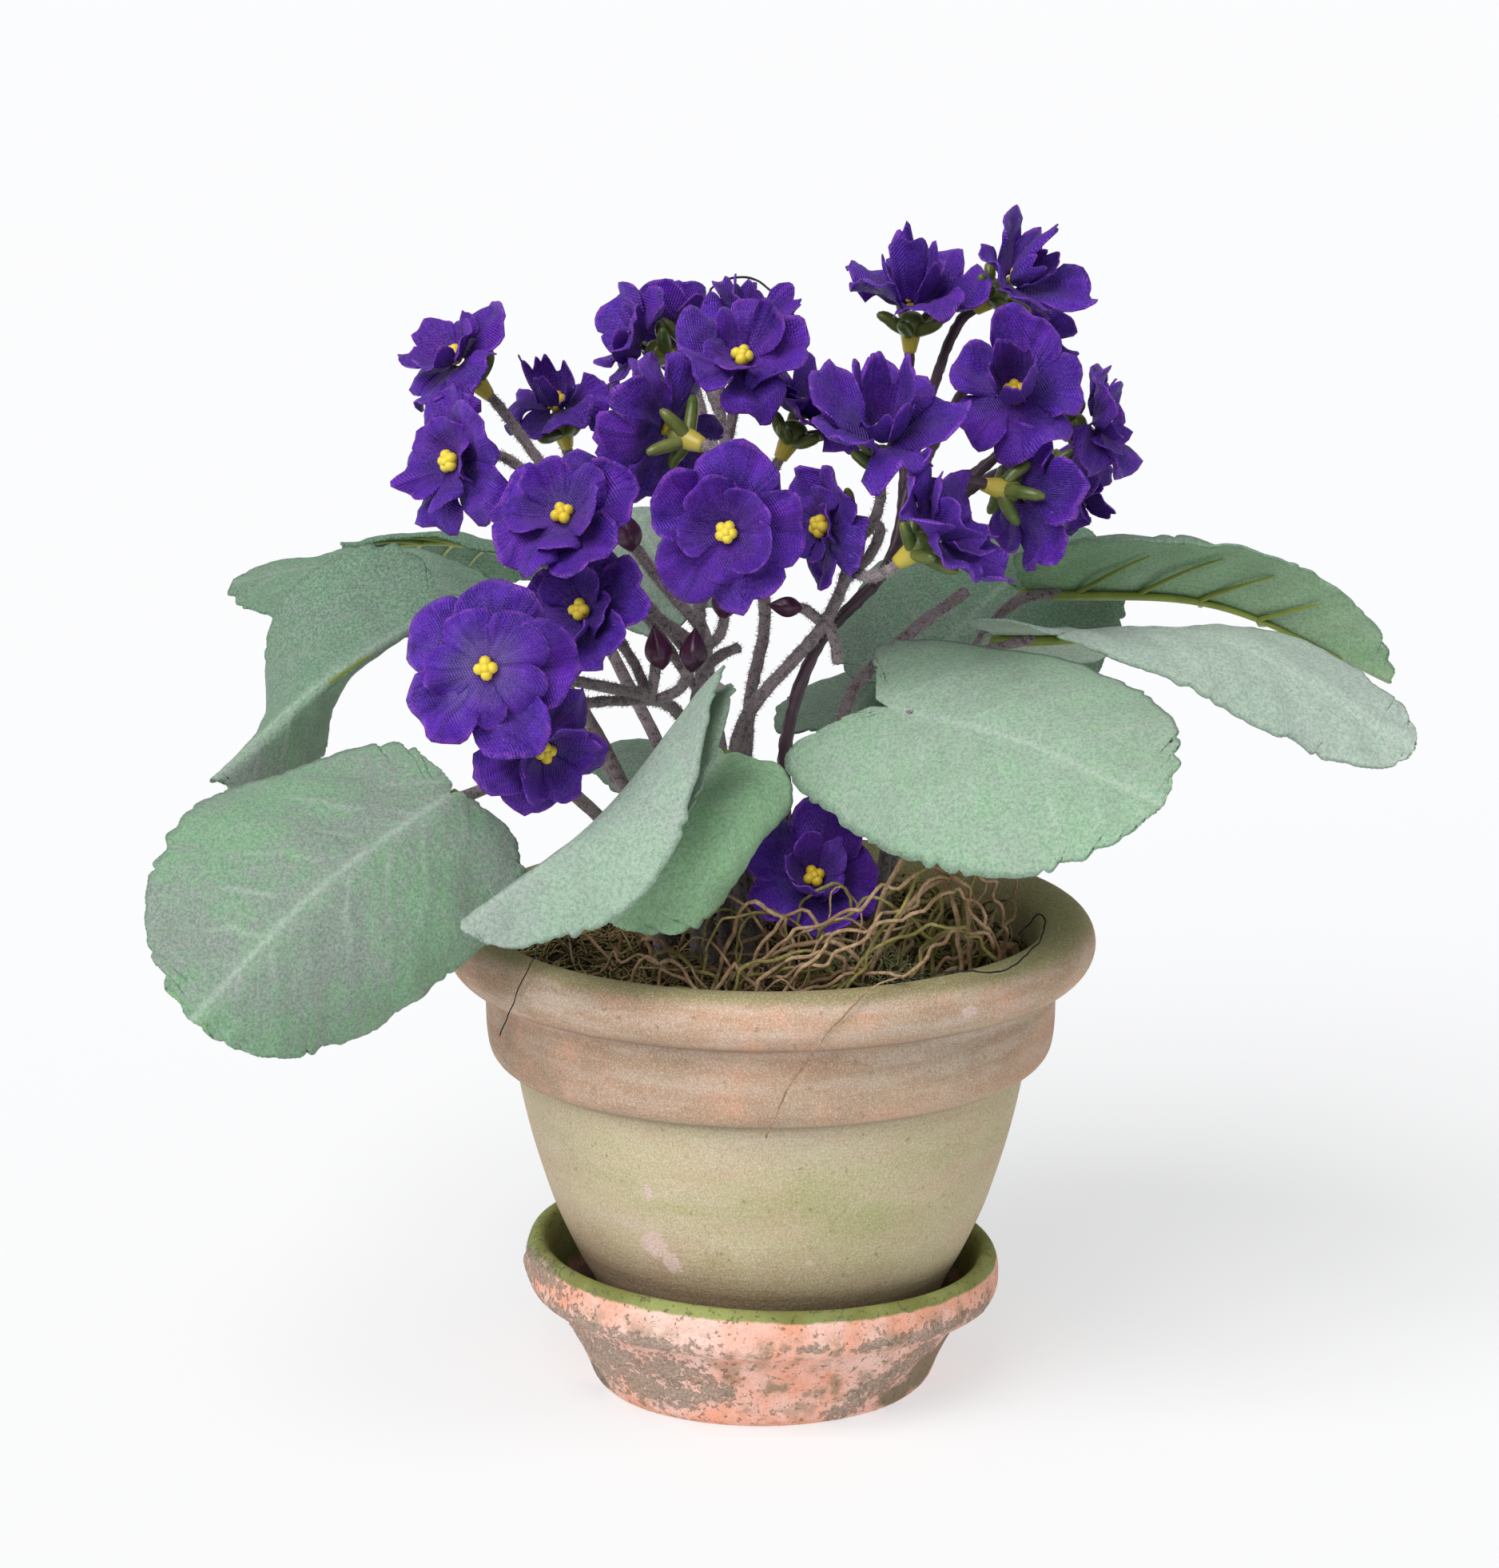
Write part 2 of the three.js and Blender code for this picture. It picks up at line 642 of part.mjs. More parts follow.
// Stems: each spray's trunk and side branches. foot is where the trunk stands in the soil.
const SPRAYS = {
  left: {
    foot: [-14, -6],
    trunk: [[-14, -7, 108], [-16.2, -10.3, 133.2], [-25, -22, 142]],
    branches: [
      [[-23, -19, 139], [-22, -20, 143], [-21.5, -20.5, 147]],
      [[-22, -18, 139], [-17, -20, 142], [-15, -22, 147]],
    ],
    buds: [
      { at: [-21, -20.5, 149.5], aim: [-0.2, 0, 1] },
      { at: [-14.5, -22.5, 149.5], aim: [0.1, 0, 1] },
    ],
  },
  centre: {
    foot: [-8, -12],
    trunk: [[-10, -11, 108], [-12, -8, 129], [-13.5, -9, 150], [-12, -11, 172]],
    branches: [
      [[-13, -9, 143], [-9, -13, 147], [-6, -14, 148.5]],
      [[-13.5, -9, 147], [-9.5, -18, 152], [-8.5, -20, 157]],
      [[-13.5, -9, 152], [-20, -4, 158], [-26, -2, 166]],
    ],
    buds: [
      { at: [-8.5, -20.5, 159], aim: [0.1, -0.2, 1] },
      { at: [-27, -2, 168], aim: [-0.3, 0, 1] },
    ],
  },
  flocked: {
    foot: [-2, -14],
    trunk: [[-5, -13, 108], [-6, -11, 131], [11, -15, 155], [17, -16, 172]],
    branches: [
      [[9, -15, 154], [6, -16, 156.5], [3, -17, 157]],
      [[10, -15, 155], [12, -16, 150], [12.5, -16, 146]],
    ],
    buds: [{ at: [3, -17, 157], aim: [-1, 0, 0.1], radius: 1.9 }],
  },
  right: {
    foot: [4, -8],
    trunk: [[3, -10, 108], [3, -11, 130], [9, -9, 148], [22, -4, 162], [26, 2, 176]],
    branches: [],
    buds: [],
  },
  back: {
    foot: [-4, 4],
    trunk: [[-5, 10, 108], [-4, 18, 130], [-1, 22, 148], [-5, 22, 165]],
    branches: [],
    buds: [],
  },
  bare: {
    foot: [11, -2],
    trunk: [[12, -1, 108], [15, -2, 136], [24, 0, 146], [37, -3, 157]],
    branches: [[[17, -2, 139], [22, 0, 143], [28, -1, 143]]],
    buds: [],
  },
};

// A closed bud: a pointed egg on the end of its stalk.
function makeBud({ at, aim, radius = 2.6 }) {
  const way = vec(aim).normalize();
  const end = (reach) => vec(at).addScaledVector(way, reach * radius);
  return bar([end(-1.4), end(0), end(1.6)], (share) => 0.6 + (radius - 0.6) * Math.sin(Math.PI * share), 2.6, 5);
}

function makeSpray(name, spray) {
  const [x, y] = spray.foot;
  const route = [[x, y, STEM_FOOT], [x, y, SOIL_TOP + 3], ...spray.trunk].map(vec);
  const trunkLine = new THREE.CatmullRomCurve3(route, false, "centripetal");
  const trunk = bar(route, (way) => TRUNK_RADIUS * (1 - 0.2 * way), 12, 4);
  const branches = spray.branches.map((line) => bar(line.map(vec), () => STEM_RADIUS, 6, 4));
  const flowers = BLOOMS.filter((bloom) => bloom.stem === name).flatMap((bloom) => {
    const behind = (reach) => vec(bloom.at).addScaledVector(lookOf(bloom), -reach);
    const start = trunkLine.getPointAt(bloom.from);
    const line = [start, start.clone().lerp(behind(CALYX_LENGTH + 8), 0.55)];
    line.push(behind(CALYX_LENGTH + 4), behind(CALYX_LENGTH - 1.5));
    return [bar(line, () => STEM_RADIUS, 15, 4), seat(calyxSolid(), bloom)];
  });
  const solid = fuse([trunk, ...branches, ...flowers, ...spray.buds.map(makeBud)]);
  return pieceOf("spray_" + name, solid, STEM_MAUVE);
}

// Soil: fills the pot under the moss, with a plain hole for each stem
function makeSoil() {
  const body = solidOf(
    turned([
      [0, SOIL_BOTTOM],
      [38 - FIT_GAP, SOIL_BOTTOM],
      [46.2 - FIT_GAP, 62],
      [49.4 - FIT_GAP, SOIL_TOP - 1.5],
      [47, SOIL_TOP],
      [0, SOIL_TOP],
    ]),
  );
  const stands = [
    ...LEAVES.map(({ foot }) => [foot, PETIOLE_RADIUS]),
    ...Object.values(SPRAYS).map(({ foot }) => [foot, TRUNK_RADIUS]),
  ];
  const depth = SOIL_TOP - STEM_FOOT + FIT_GAP;
  return stands.reduce((soil, [[x, y], radius]) => {
    const across = (radius + FIT_GAP) / Math.cos(Math.PI / 4);
    const hole = new THREE.CylinderGeometry(across, across, depth + 2, 4).rotateX(Math.PI / 2);
    return soil.subtract(solidOf(hole.translate(x, y, SOIL_TOP + 1 - depth / 2)));
  }, body);
}

// Moss: a ring of dried moss laid round the stems, with root strands looping out of it
const MOSS_STEPS = 20;
const ROOT_LOOPS = 10;
const TALL_ROOTS = [
  [[20, -30, 84], [20, -37, 104], [27, -38, 116], [34, -34, 104], [36, -30, 84]],
  [[16, -38, 84], [24, -40, 104], [34, -37, 110], [38, -28, 84]],
  [[-8, -37, 84], [-2, -41, 95], [12, -43, 99], [24, -38, 84]],
];

function makeMoss() {
  const draw = drawsFrom(4242);
  const bumps = Array.from({ length: 3 }, () => Array.from({ length: MOSS_STEPS }, () => draw()));
  const lap = (radiusAt, heightAt) =>
    Array.from({ length: MOSS_STEPS }, (_, k) => {
      const turn = (2 * Math.PI * k) / MOSS_STEPS;
      return vec([radiusAt(k) * Math.cos(turn), radiusAt(k) * Math.sin(turn), heightAt(k)]);
    });
  const ring = ringSolid(
    [
      lap(() => MOSS_INNER_RADIUS, () => SOIL_TOP + FIT_GAP),
      lap((k) => MOSS_INNER_RADIUS + 1 + 2 * bumps[1][k], (k) => 83 + 4 * bumps[0][k]),
      lap((k) => 34 + 4 * bumps[1][k], (k) => 85 + 4.5 * bumps[2][k]),
      lap((k) => 43 + 2 * bumps[0][k], (k) => 84 + 4 * bumps[1][k]),
      lap(() => MOSS_OUTER_RADIUS - 1.2, (k) => 82 + 2 * bumps[2][k]),
      lap(() => MOSS_OUTER_RADIUS - 1.6, () => SOIL_TOP + FIT_GAP),
    ],
    true,
  );
  const loops = Array.from({ length: ROOT_LOOPS }, (_, k) => {
    const start = (2 * Math.PI * (k + draw() * 0.6)) / ROOT_LOOPS;
    const end = start + 0.35 + 0.5 * draw();
    const height = 90 + 7 * draw();
    const point = (turn, radius, z) => vec([radius * Math.cos(turn), radius * Math.sin(turn), z]);
    const route = [point(start, 30 + 12 * draw(), 83), point(start + 0.1, 36, height)];
    route.push(point((start + end) / 2 + 0.1, 30 + 12 * draw(), height + 1), point(end, 34 + 9 * draw(), 83));
    return bar(route, () => 0.8, 9, 3);
  });
  const roots = TALL_ROOTS.map((route) => bar(route.map(vec), () => 0.8, 10, 3));
  const clump = new THREE.IcosahedronGeometry(7, 1).scale(1.3, 0.9, 0.7).translate(17, -35, 88);
  return pieceOf("moss", fuse([ring, solidOf(clump), ...loops, ...roots]), MOSS);
}

// The whole plant in its pot
const pottedViolet = new THREE.Group();
const planter = new THREE.Group();
planter.position.set(POT_SHIFT, 0, 0);
pottedViolet.add(makeSaucer(), planter);
planter.add(makePot(), pieceOf("soil", makeSoil(), SOIL), makeMoss());
LEAVES.forEach((leaf) => planter.add(makeLeaf(leaf)));
Object.entries(SPRAYS).forEach(([name, spray]) => planter.add(makeSpray(name, spray)));
BLOOMS.forEach((bloom, number) => planter.add(makeBloom(bloom, number)));

export default pottedViolet;
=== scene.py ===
# %% [markdown]
# A potted african violet made of cloth and moulded plastic, in a weathered terracotta pot on its saucer.
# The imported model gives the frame: where each leaf, bloom and stem stands. Blender could reshape those
# coarse solids with modifiers, but cloth petals and felted leaves need far more faces than a solid has.
# So each piece is made again from the same sizes, finer, in the same place, and stands for its solid.

import math

import bpy
import numpy as np
from mathutils import Matrix, Vector, noise


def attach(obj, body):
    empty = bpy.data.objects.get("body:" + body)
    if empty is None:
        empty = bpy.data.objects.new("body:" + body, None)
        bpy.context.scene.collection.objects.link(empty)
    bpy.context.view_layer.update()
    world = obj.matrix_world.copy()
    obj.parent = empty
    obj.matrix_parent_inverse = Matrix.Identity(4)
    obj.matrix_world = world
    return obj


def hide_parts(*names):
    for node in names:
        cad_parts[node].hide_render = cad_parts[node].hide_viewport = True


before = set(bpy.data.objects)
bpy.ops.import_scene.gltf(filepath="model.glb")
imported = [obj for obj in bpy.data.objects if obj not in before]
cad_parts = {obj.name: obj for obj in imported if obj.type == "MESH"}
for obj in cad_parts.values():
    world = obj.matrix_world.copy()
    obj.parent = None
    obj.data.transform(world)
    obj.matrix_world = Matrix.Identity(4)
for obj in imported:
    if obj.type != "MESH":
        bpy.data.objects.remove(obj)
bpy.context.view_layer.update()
MM = 0.001
POT_SHIFT = 1.5  # the pot stands this far right of the saucer's middle, in millimetres
NOISE_SEED = 7

noise.seed_set(NOISE_SEED)  # without a set seed, Blender's noise vectors change from run to run


def in_scene(name, data):
    """A new object in the scene, made from a mesh, a camera or a light."""
    made = bpy.data.objects.new(name, data)
    bpy.context.scene.collection.objects.link(made)
    return made


print("the frame holds", len(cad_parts), "solids")

# %% [markdown]
# The photograph looks down on the plant by 14 degrees from a little over a metre away. The camera could
# be placed by eye, but its distance, height and lens were worked out from the pot's rim and the saucer,
# whose true shape is known: both are circles, and how flat they look gives the angle.

# %% Camera
CAMERA_TARGET = Vector((-0.0025, 0.0, 0.1186))
CAMERA_REACH = 1.1
CAMERA_RISE = math.radians(14)
FOCAL_PIXELS = 7190
PHOTO_HEIGHT = 1962
SENSOR = 36

camera = in_scene("camera", bpy.data.cameras.new("camera"))
camera.data.sensor_width = SENSOR
camera.data.lens = FOCAL_PIXELS / PHOTO_HEIGHT * SENSOR
camera.data.clip_start = 0.05
camera.data.clip_end = 40
back = Vector((0, -math.cos(CAMERA_RISE), math.sin(CAMERA_RISE)))
camera.location = CAMERA_TARGET + back * CAMERA_REACH
camera.rotation_euler = (-back).to_track_quat("-Z", "Y").to_euler()
bpy.context.scene.camera = camera
print("lens", round(camera.data.lens, 1), "mm")

# %% [markdown]
# The photograph was lit by a white room: the background is almost white and the shadows are faint. Many
# small lamps would do it, but a white sky with one very wide, low sun from the front left gives the same
# even light, a soft turn from lit to shaded on the pot, and the pale shadow under the saucer.

# %% Light
SKY_STRENGTH = 0.45
SUN_STRENGTH = 2.7
SUN_WIDTH = math.radians(50)
SUN_FROM = Vector((-0.55, -0.85, 1.0))

world = bpy.data.worlds.new("white room")
world.use_nodes = True
sky = world.node_tree.nodes["Background"].inputs
sky["Color"].default_value = (1, 1, 1, 1)
sky["Strength"].default_value = SKY_STRENGTH
bpy.context.scene.world = world
bpy.context.scene.view_settings.view_transform = "Standard"
sun = in_scene("sun", bpy.data.lights.new("sun", "SUN"))
sun.data.energy = SUN_STRENGTH
sun.data.angle = SUN_WIDTH
sun.rotation_euler = SUN_FROM.to_track_quat("Z", "Y").to_euler()
print("sun", sun.data.energy, "sky", SKY_STRENGTH)

# %% [markdown]
# Materials are wired node by node, and the same few moves come back all the time: add a node, feed its
# sockets, mix two colours, stretch a value. Writing each link by hand hides what a finish is made of, so
# one small helper does the wiring, and every finish below reads like a recipe.


# %% A bench for wiring nodes
class Bench:
    """A node tree being wired. A word with a capital feeds a socket, a plain word is a setting."""

    def __init__(self, tree):
        self.tree = tree

    def feed(self, socket, value):
        if isinstance(value, bpy.types.NodeSocket):
            self.tree.links.new(value, socket)
        elif socket.type == "RGBA" and len(value) == 3:
            socket.default_value = (*value, 1)
        else:
            socket.default_value = value

    def add(self, kind, **words):
        node = self.tree.nodes.new(kind)
        for word, value in words.items():
            if word[0].islower():
                setattr(node, word, value)
        for word, value in words.items():
            if word[0].isupper():
                self.feed(node.inputs[word.replace("_", " ")], value)
        return node

    def math(self, operation, *values):
        node = self.tree.nodes.new("ShaderNodeMath")
        node.operation = operation
        for socket, value in zip(node.inputs, values):
            self.feed(socket, value)
        return node.outputs[0]

    def mix(self, below, above, mask):
        node = self.tree.nodes.new("ShaderNodeMix")
        node.data_type = "RGBA"
        self.feed(node.inputs[0], mask)
        self.feed(node.inputs[6], below)
        self.feed(node.inputs[7], above)
        return node.outputs[2]

    def ramp(self, value, low, high, start=0.0, end=1.0):
        words = {"From_Min": low, "From_Max": high, "To_Min": start, "To_Max": end}
        node = self.add("ShaderNodeMapRange", interpolation_type="SMOOTHSTEP", Value=value, **words)
        return node.outputs["Result"]


def new_group(name, takes, gives):
    """A shader group with named inputs, each with a starting value, and named outputs."""
    tree = bpy.data.node_groups.new(name, "ShaderNodeTree")
    for word, value in takes.items():
        kind = "NodeSocketVector" if value is None else "NodeSocketFloat"
        socket = tree.interface.new_socket(name=word, in_out="INPUT", socket_type=kind)
        if value is not None:
            socket.default_value = value
    for word in gives:
        tree.interface.new_socket(name=word, in_out="OUTPUT", socket_type="NodeSocketFloat")
    bench = Bench(tree)
    bench.given = tree.nodes.new("NodeGroupInput").outputs
    bench.result = tree.nodes.new("NodeGroupOutput").inputs
    return bench


# %% [markdown]
# Old clay, felt and dried moss all have soft-edged patches of another colour. They could be painted, but
# a noise texture cut at a level gives patches that run all round a piece with no seam. The group says how
# much of the surface they cover and how soft their edges are, so each finish asks for its own kind.

# %% Patches
COVER_LEVELS = (-0.45, 0.725)  # how the cut falls as the patches cover more, and where it starts
EDGE_REACH = 0.16


def grain_of(bench, detail, roughness):
    """Seeded noise, read at a group's own Vector and Scale."""
    words = {"Vector": bench.given["Vector"], "W": bench.given["Seed"], "Scale": bench.given["Scale"]}
    words.update(Detail=detail, Roughness=roughness)
    return bench.add("ShaderNodeTexNoise", noise_dimensions="4D", **words).outputs["Fac"]


def cut(bench, value, level, edge):
    """Puts value out as the group's Mask, cut at level with an edge as soft as edge says."""
    low, high = (bench.math(way, level, edge) for way in ("SUBTRACT", "ADD"))
    bench.feed(bench.result["Mask"], bench.ramp(value, low, high))


words = {"Vector": None, "Scale": 30.0, "Cover": 0.5, "Softness": 0.5, "Seed": 0.0}
patches = new_group("patches", words, ["Mask"])
level = patches.math("MULTIPLY_ADD", patches.given["Cover"], *COVER_LEVELS)
edge = patches.math("MULTIPLY", patches.given["Softness"], EDGE_REACH)
cut(patches, grain_of(patches, 4.0, 0.6), level, edge)
print("group", patches.tree.name)

# %% [markdown]
# A stain or a crust has its own place on the pot, which is stored in the mesh as a number from 0 to 1.
# Read plainly that number gives a smooth blur. Real edges are bitten and crumbly, so this group eats into
# the number with noise before cutting it.

# %% Ragged edges
words = {"Vector": None, "Mask": 0.0, "Scale": 300.0, "Bite": 0.5, "Softness": 0.2, "Seed": 0.0}
ragged = new_group("ragged edge", words, ["Mask"])
bitten = ragged.math("SUBTRACT", grain_of(ragged, 5.0, 0.65), 0.5)
bitten = ragged.math("MULTIPLY", bitten, ragged.given["Bite"])
bitten = ragged.math("MULTIPLY_ADD", bitten, 2.0, ragged.given["Mask"])
cut(ragged, bitten, 0.5, ragged.given["Softness"])
print("group", ragged.tree.name)

# %% [markdown]
# Clay, felt and flock are all made of specks: grains of sand, short fibres. Their colour and their height
# come from the same specks, so one group puts out both, and each finish says how large its specks are.

# %% Specks
SPECK_CUT = (0.38, 0.64)  # the part of the noise that turns from no speck to a speck

specks = new_group("specks", {"Vector": None, "Scale": 2000.0, "Seed": 0.0}, ["Speck", "Height"])
fine = grain_of(specks, 2.0, 0.7)
specks.feed(specks.result["Height"], fine)
specks.feed(specks.result["Speck"], specks.ramp(fine, *SPECK_CUT))
print("group", specks.tree.name)

# %% [markdown]
# The petals and the leaves are punched from woven cloth: close up, fine slanting ribs run across them. A
# picture of cloth would do, but two sine waves over the cloth's own flat coordinates, in centimetres, give
# the same ribs at their true pitch, whichever way the petal is bent. The petals show them most.

# %% Weave
weave = new_group("weave", {"Vector": None, "Threads": 30.0, "Slant": 0.6}, ["Height"])
flat = weave.add("ShaderNodeSeparateXYZ", Vector=weave.given["Vector"]).outputs
turns = weave.math("MULTIPLY", weave.given["Threads"], 2 * math.pi)
along = weave.math("MULTIPLY_ADD", flat["Y"], weave.given["Slant"], flat["X"])
rib = weave.math("SINE", weave.math("MULTIPLY", along, turns))
cross = weave.math("SINE", weave.math("MULTIPLY", flat["Y"], turns))
cloth = weave.math("MULTIPLY_ADD", cross, 0.35, rib)
weave.feed(weave.result["Height"], weave.math("MULTIPLY_ADD", cloth, 0.37, 0.5))
print("group", weave.tree.name)

# %% [markdown]
# Each finish is one material: a Principled shader with its plain numbers set on its own sockets, and the
# nodes that vary over the surface wired to its colour, roughness and normal. Real finishes are layers: a
# base tone, then stains and grain laid over it one by one. So the helper keeps the tone and the relief so
# far, and each line of a recipe lays one more over them: a colour, where it goes, and how strongly.


# %% A finish
class Finish(Bench):
    """A material being made. place is the spot on the object in metres, tone the colour so far."""

    def __init__(self, name, roughness, **plain):
        self.material = bpy.data.materials.new(name)
        self.material.use_nodes = True
        super().__init__(self.material.node_tree)
        self.shader = self.tree.nodes["Principled BSDF"]
        for word, value in {"Roughness": roughness, **plain}.items():
            self.feed(self.shader.inputs[word.replace("_", " ")], value)
        self.place = self.add("ShaderNodeTexCoord").outputs["Object"]
        self.tone = self.relief = None

    def group(self, bench, result, **words):
        words.setdefault("Vector", self.place)
        return self.add("ShaderNodeGroup", node_tree=bench.tree, **words).outputs[result]

    def patchy(self, scale, cover=0.5, softness=0.5, seed=0.0, at=None):
        """Soft patches: how many to the metre, what share they cover, how soft their edges are."""
        words = {"Vector": at or self.place, "Scale": scale, "Cover": cover, "Softness": softness}
        return self.group(patches, "Mask", Seed=seed, **words)

    def bitten(self, mark, scale, bite, softness, seed=0.0):
        """The marked zone with an edge eaten by noise of this scale, this deep and this soft."""
        words = {"Mask": self.mark(mark), "Scale": scale, "Bite": bite, "Softness": softness}
        return self.group(ragged, "Mask", Seed=seed, **words)

    def speck(self, scale, seed=0.0, result="Speck"):
        return self.group(specks, result, Scale=scale, Seed=seed)

    def mark(self, name):
        return self.add("ShaderNodeAttribute", attribute_name=name).outputs["Fac"]

    def flat(self):
        return self.add("ShaderNodeUVMap", uv_map="cloth").outputs["UV"]

    def stretched(self, x, y, z):
        return self.add("ShaderNodeMapping", Vector=self.place, Scale=(x, y, z)).outputs[0]

    def times(self, one, other):
        return self.math("MULTIPLY", one, other)

    def base(self, dark, light, mask):
        """The first tone of a recipe: two colours that meet along mask."""
        self.tone = self.mix(dark, light, mask)
        self.feed(self.shader.inputs["Base Color"], self.tone)

    def lay(self, tone, mask, share=1.0):
        """Lays a colour over the tone so far, where mask is, and as strongly as share says."""
        self.base(self.tone, tone, mask if share == 1 else self.times(mask, share))

    def bump(self, height, distance, strength=1.0):
        """Lays a relief over the one so far. distance is its depth in metres."""
        node = self.add("ShaderNodeBump", Height=height, Distance=distance, Strength=strength)
        if self.relief:
            self.feed(node.inputs["Normal"], self.relief)
        self.relief = node.outputs["Normal"]
        self.feed(self.shader.inputs["Normal"], self.relief)


# %% [markdown]
# Pieces are made as rings or grids of points in millimetres, counted from the pot's axis, as the sizes
# were measured. Blender wants metres from the part's origin. A stock gathers points, faces, flat cloth
# coordinates and marks, and turns them into one piece in the frame, which rides on the part and stands
# for its solid.


# %% A stock of faces
class Stock:
    """Points and faces for one piece. marks are numbers at the points that its finish reads."""

    def __init__(self, *marks):
        self.points, self.faces, self.slots, self.flats = [], [], [], []
        self.marks = {mark: [] for mark in marks}
        self.count = 0

    def add(self, points, faces, slot=0, flat=None, **marks):
        points = np.asarray(points, float).reshape(-1, 3)
        self.faces += [[int(corner) + self.count for corner in face] for face in faces]
        self.slots += [slot] * len(faces)
        self.points.append(points)
        self.flats.append(np.zeros((len(points), 2)) if flat is None else flat)
        for mark, values in self.marks.items():
            given = np.asarray(marks.get(mark, 0.0), float)
            values.append(np.broadcast_to(given.reshape(-1) if given.ndim else given, (len(points),)))
        self.count += len(points)

    def piece(self, name, materials, node, slot, shift=POT_SHIFT, wall=None):
        mesh = bpy.data.meshes.new(name)
        points = (np.concatenate(self.points) + (shift, 0, 0)) * MM
        mesh.from_pydata(points.tolist(), [], self.faces)
        corners = np.empty(len(mesh.loops), int)
        mesh.loops.foreach_get("vertex_index", corners)
        layer = mesh.uv_layers.new(name="cloth")
        layer.data.foreach_set("uv", np.concatenate(self.flats)[corners].ravel())
        for mark, values in self.marks.items():
            attribute = mesh.attributes.new(mark, "FLOAT", "POINT")
            attribute.data.foreach_set("value", np.concatenate(values).astype(np.float32))
        for material in materials:
            mesh.materials.append(material)
        mesh.polygons.foreach_set("material_index", self.slots)
        mesh.polygons.foreach_set("use_smooth", [True] * len(mesh.polygons))
        made = in_scene(name, mesh)
        if wall:
            thick = made.modifiers.new("thickness", "SOLIDIFY")
            thick.thickness = wall * MM
            thick.offset = 0
            thick.material_offset = len(materials) - 1
        return settle(made, node)


def settle(made, node):
    """Ties a finished piece to the part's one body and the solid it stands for."""
    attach(made, "root")
    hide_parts(node)
    return made


def single(name, shape, material, node, slot):
    """A piece that is one shape of points and faces in one material."""
    stock = Stock()
    stock.add(*shape)
    return stock.piece(name, [material], node, slot)


# %% [markdown]
# Two shapes come back in every piece. Rings joined to rings make pots, stems and buds, and a grid of rows
# makes petals and leaves. Both are closed here once, with the faces outwards, so that no piece has to
# think about it again.


# %% Rings and grids
def skin(rings, first=None, last=None, loop=False):
    """Points and faces over rings (rings, sides, 3) that run anticlockwise seen from the last ring."""
    rings = np.asarray(rings, float)
    count, sides = rings.shape[:2]
    ids = np.arange(count * sides).reshape(count, sides)
    runs = np.vstack([ids, ids[:1]]) if loop else ids
    turned = np.roll(runs, -1, axis=1)
    faces = np.stack([runs[:-1], turned[:-1], turned[1:], runs[1:]], -1).reshape(-1, 4).tolist()
    points = rings.reshape(-1, 3)
    if first is not None:
        faces += [[len(points), b, a] for a, b in zip(ids[0], np.roll(ids[0], -1))]
        points = np.vstack([points, first])
    if last is not None:
        faces += [[len(points), a, b] for a, b in zip(ids[-1], np.roll(ids[-1], -1))]
        points = np.vstack([points, last])
    return points, faces


def grid(rows, columns):
    """Faces of a grid of points, which look along column direction cross row direction."""
    ids = np.arange(rows * columns).reshape(rows, columns)
    corners = [ids[:-1, 1:], ids[1:, 1:], ids[1:, :-1], ids[:-1, :-1]]
    return np.stack(corners, -1).reshape(-1, 4).tolist()


def unit(vectors):
    return vectors / np.maximum(np.linalg.norm(vectors, axis=-1, keepdims=True), 1e-9)


def lumps(points, scale, shift=(0, 0, 0)):
    """Slow noise at each point, about -1 to 1. A larger scale makes smaller lumps."""
    return np.array([noise.noise(Vector(point) * scale + Vector(shift)) for point in points])


def drift(points, scale, shift=(0, 0, 0)):
    """The same noise as a push in three directions."""
    return np.array([noise.noise_vector(Vector(point) * scale + Vector(shift)) for point in points])


# %% [markdown]
# Stems, stalks and roots follow smooth lines through a few points. Blender's own curve objects could be
# used, but their shape differs a little from the solids' lines. A centripetal spline through the same
# points lies exactly on them, and it never loops where points are close together.


# %% Smooth lines
SPLINE_STEPS = 24  # between two given points, before the line is cut into even steps
END_BULGE = 0.5  # how far the end of a bar stands out, where its radius is 1


def smooth_line(points, spacing=None, count=None):
    """Points at even steps along the centripetal spline through points."""
    given = np.asarray(points, float)
    given = np.vstack([2 * given[0] - given[1], given, 2 * given[-1] - given[-2]])
    share = np.linspace(0, 1, SPLINE_STEPS, endpoint=False)[:, None]
    fine = []
    for a, b, c, d in zip(given, given[1:], given[2:], given[3:]):
        before, here, after = (max(np.linalg.norm(q - p), 1e-6) ** 0.5 for p, q in ((a, b), (b, c), (c, d)))
        leave = ((b - a) / before - (c - a) / (before + here) + (c - b) / here) * here
        reach = ((c - b) / here - (d - b) / (here + after) + (d - c) / after) * here
        cube = 2 * b - 2 * c + leave + reach
        square = -3 * b + 3 * c - 2 * leave - reach
        fine.append(b + leave * share + square * share**2 + cube * share**3)
    fine = np.vstack([*fine, given[-2:-1]])
    way = np.concatenate([[0], np.cumsum(np.linalg.norm(np.diff(fine, axis=0), axis=1))])
    even = np.linspace(0, way[-1], count or max(4, int(way[-1] / spacing) + 1))
    return np.stack([np.interp(even, way, fine[:, axis]) for axis in range(3)], 1)


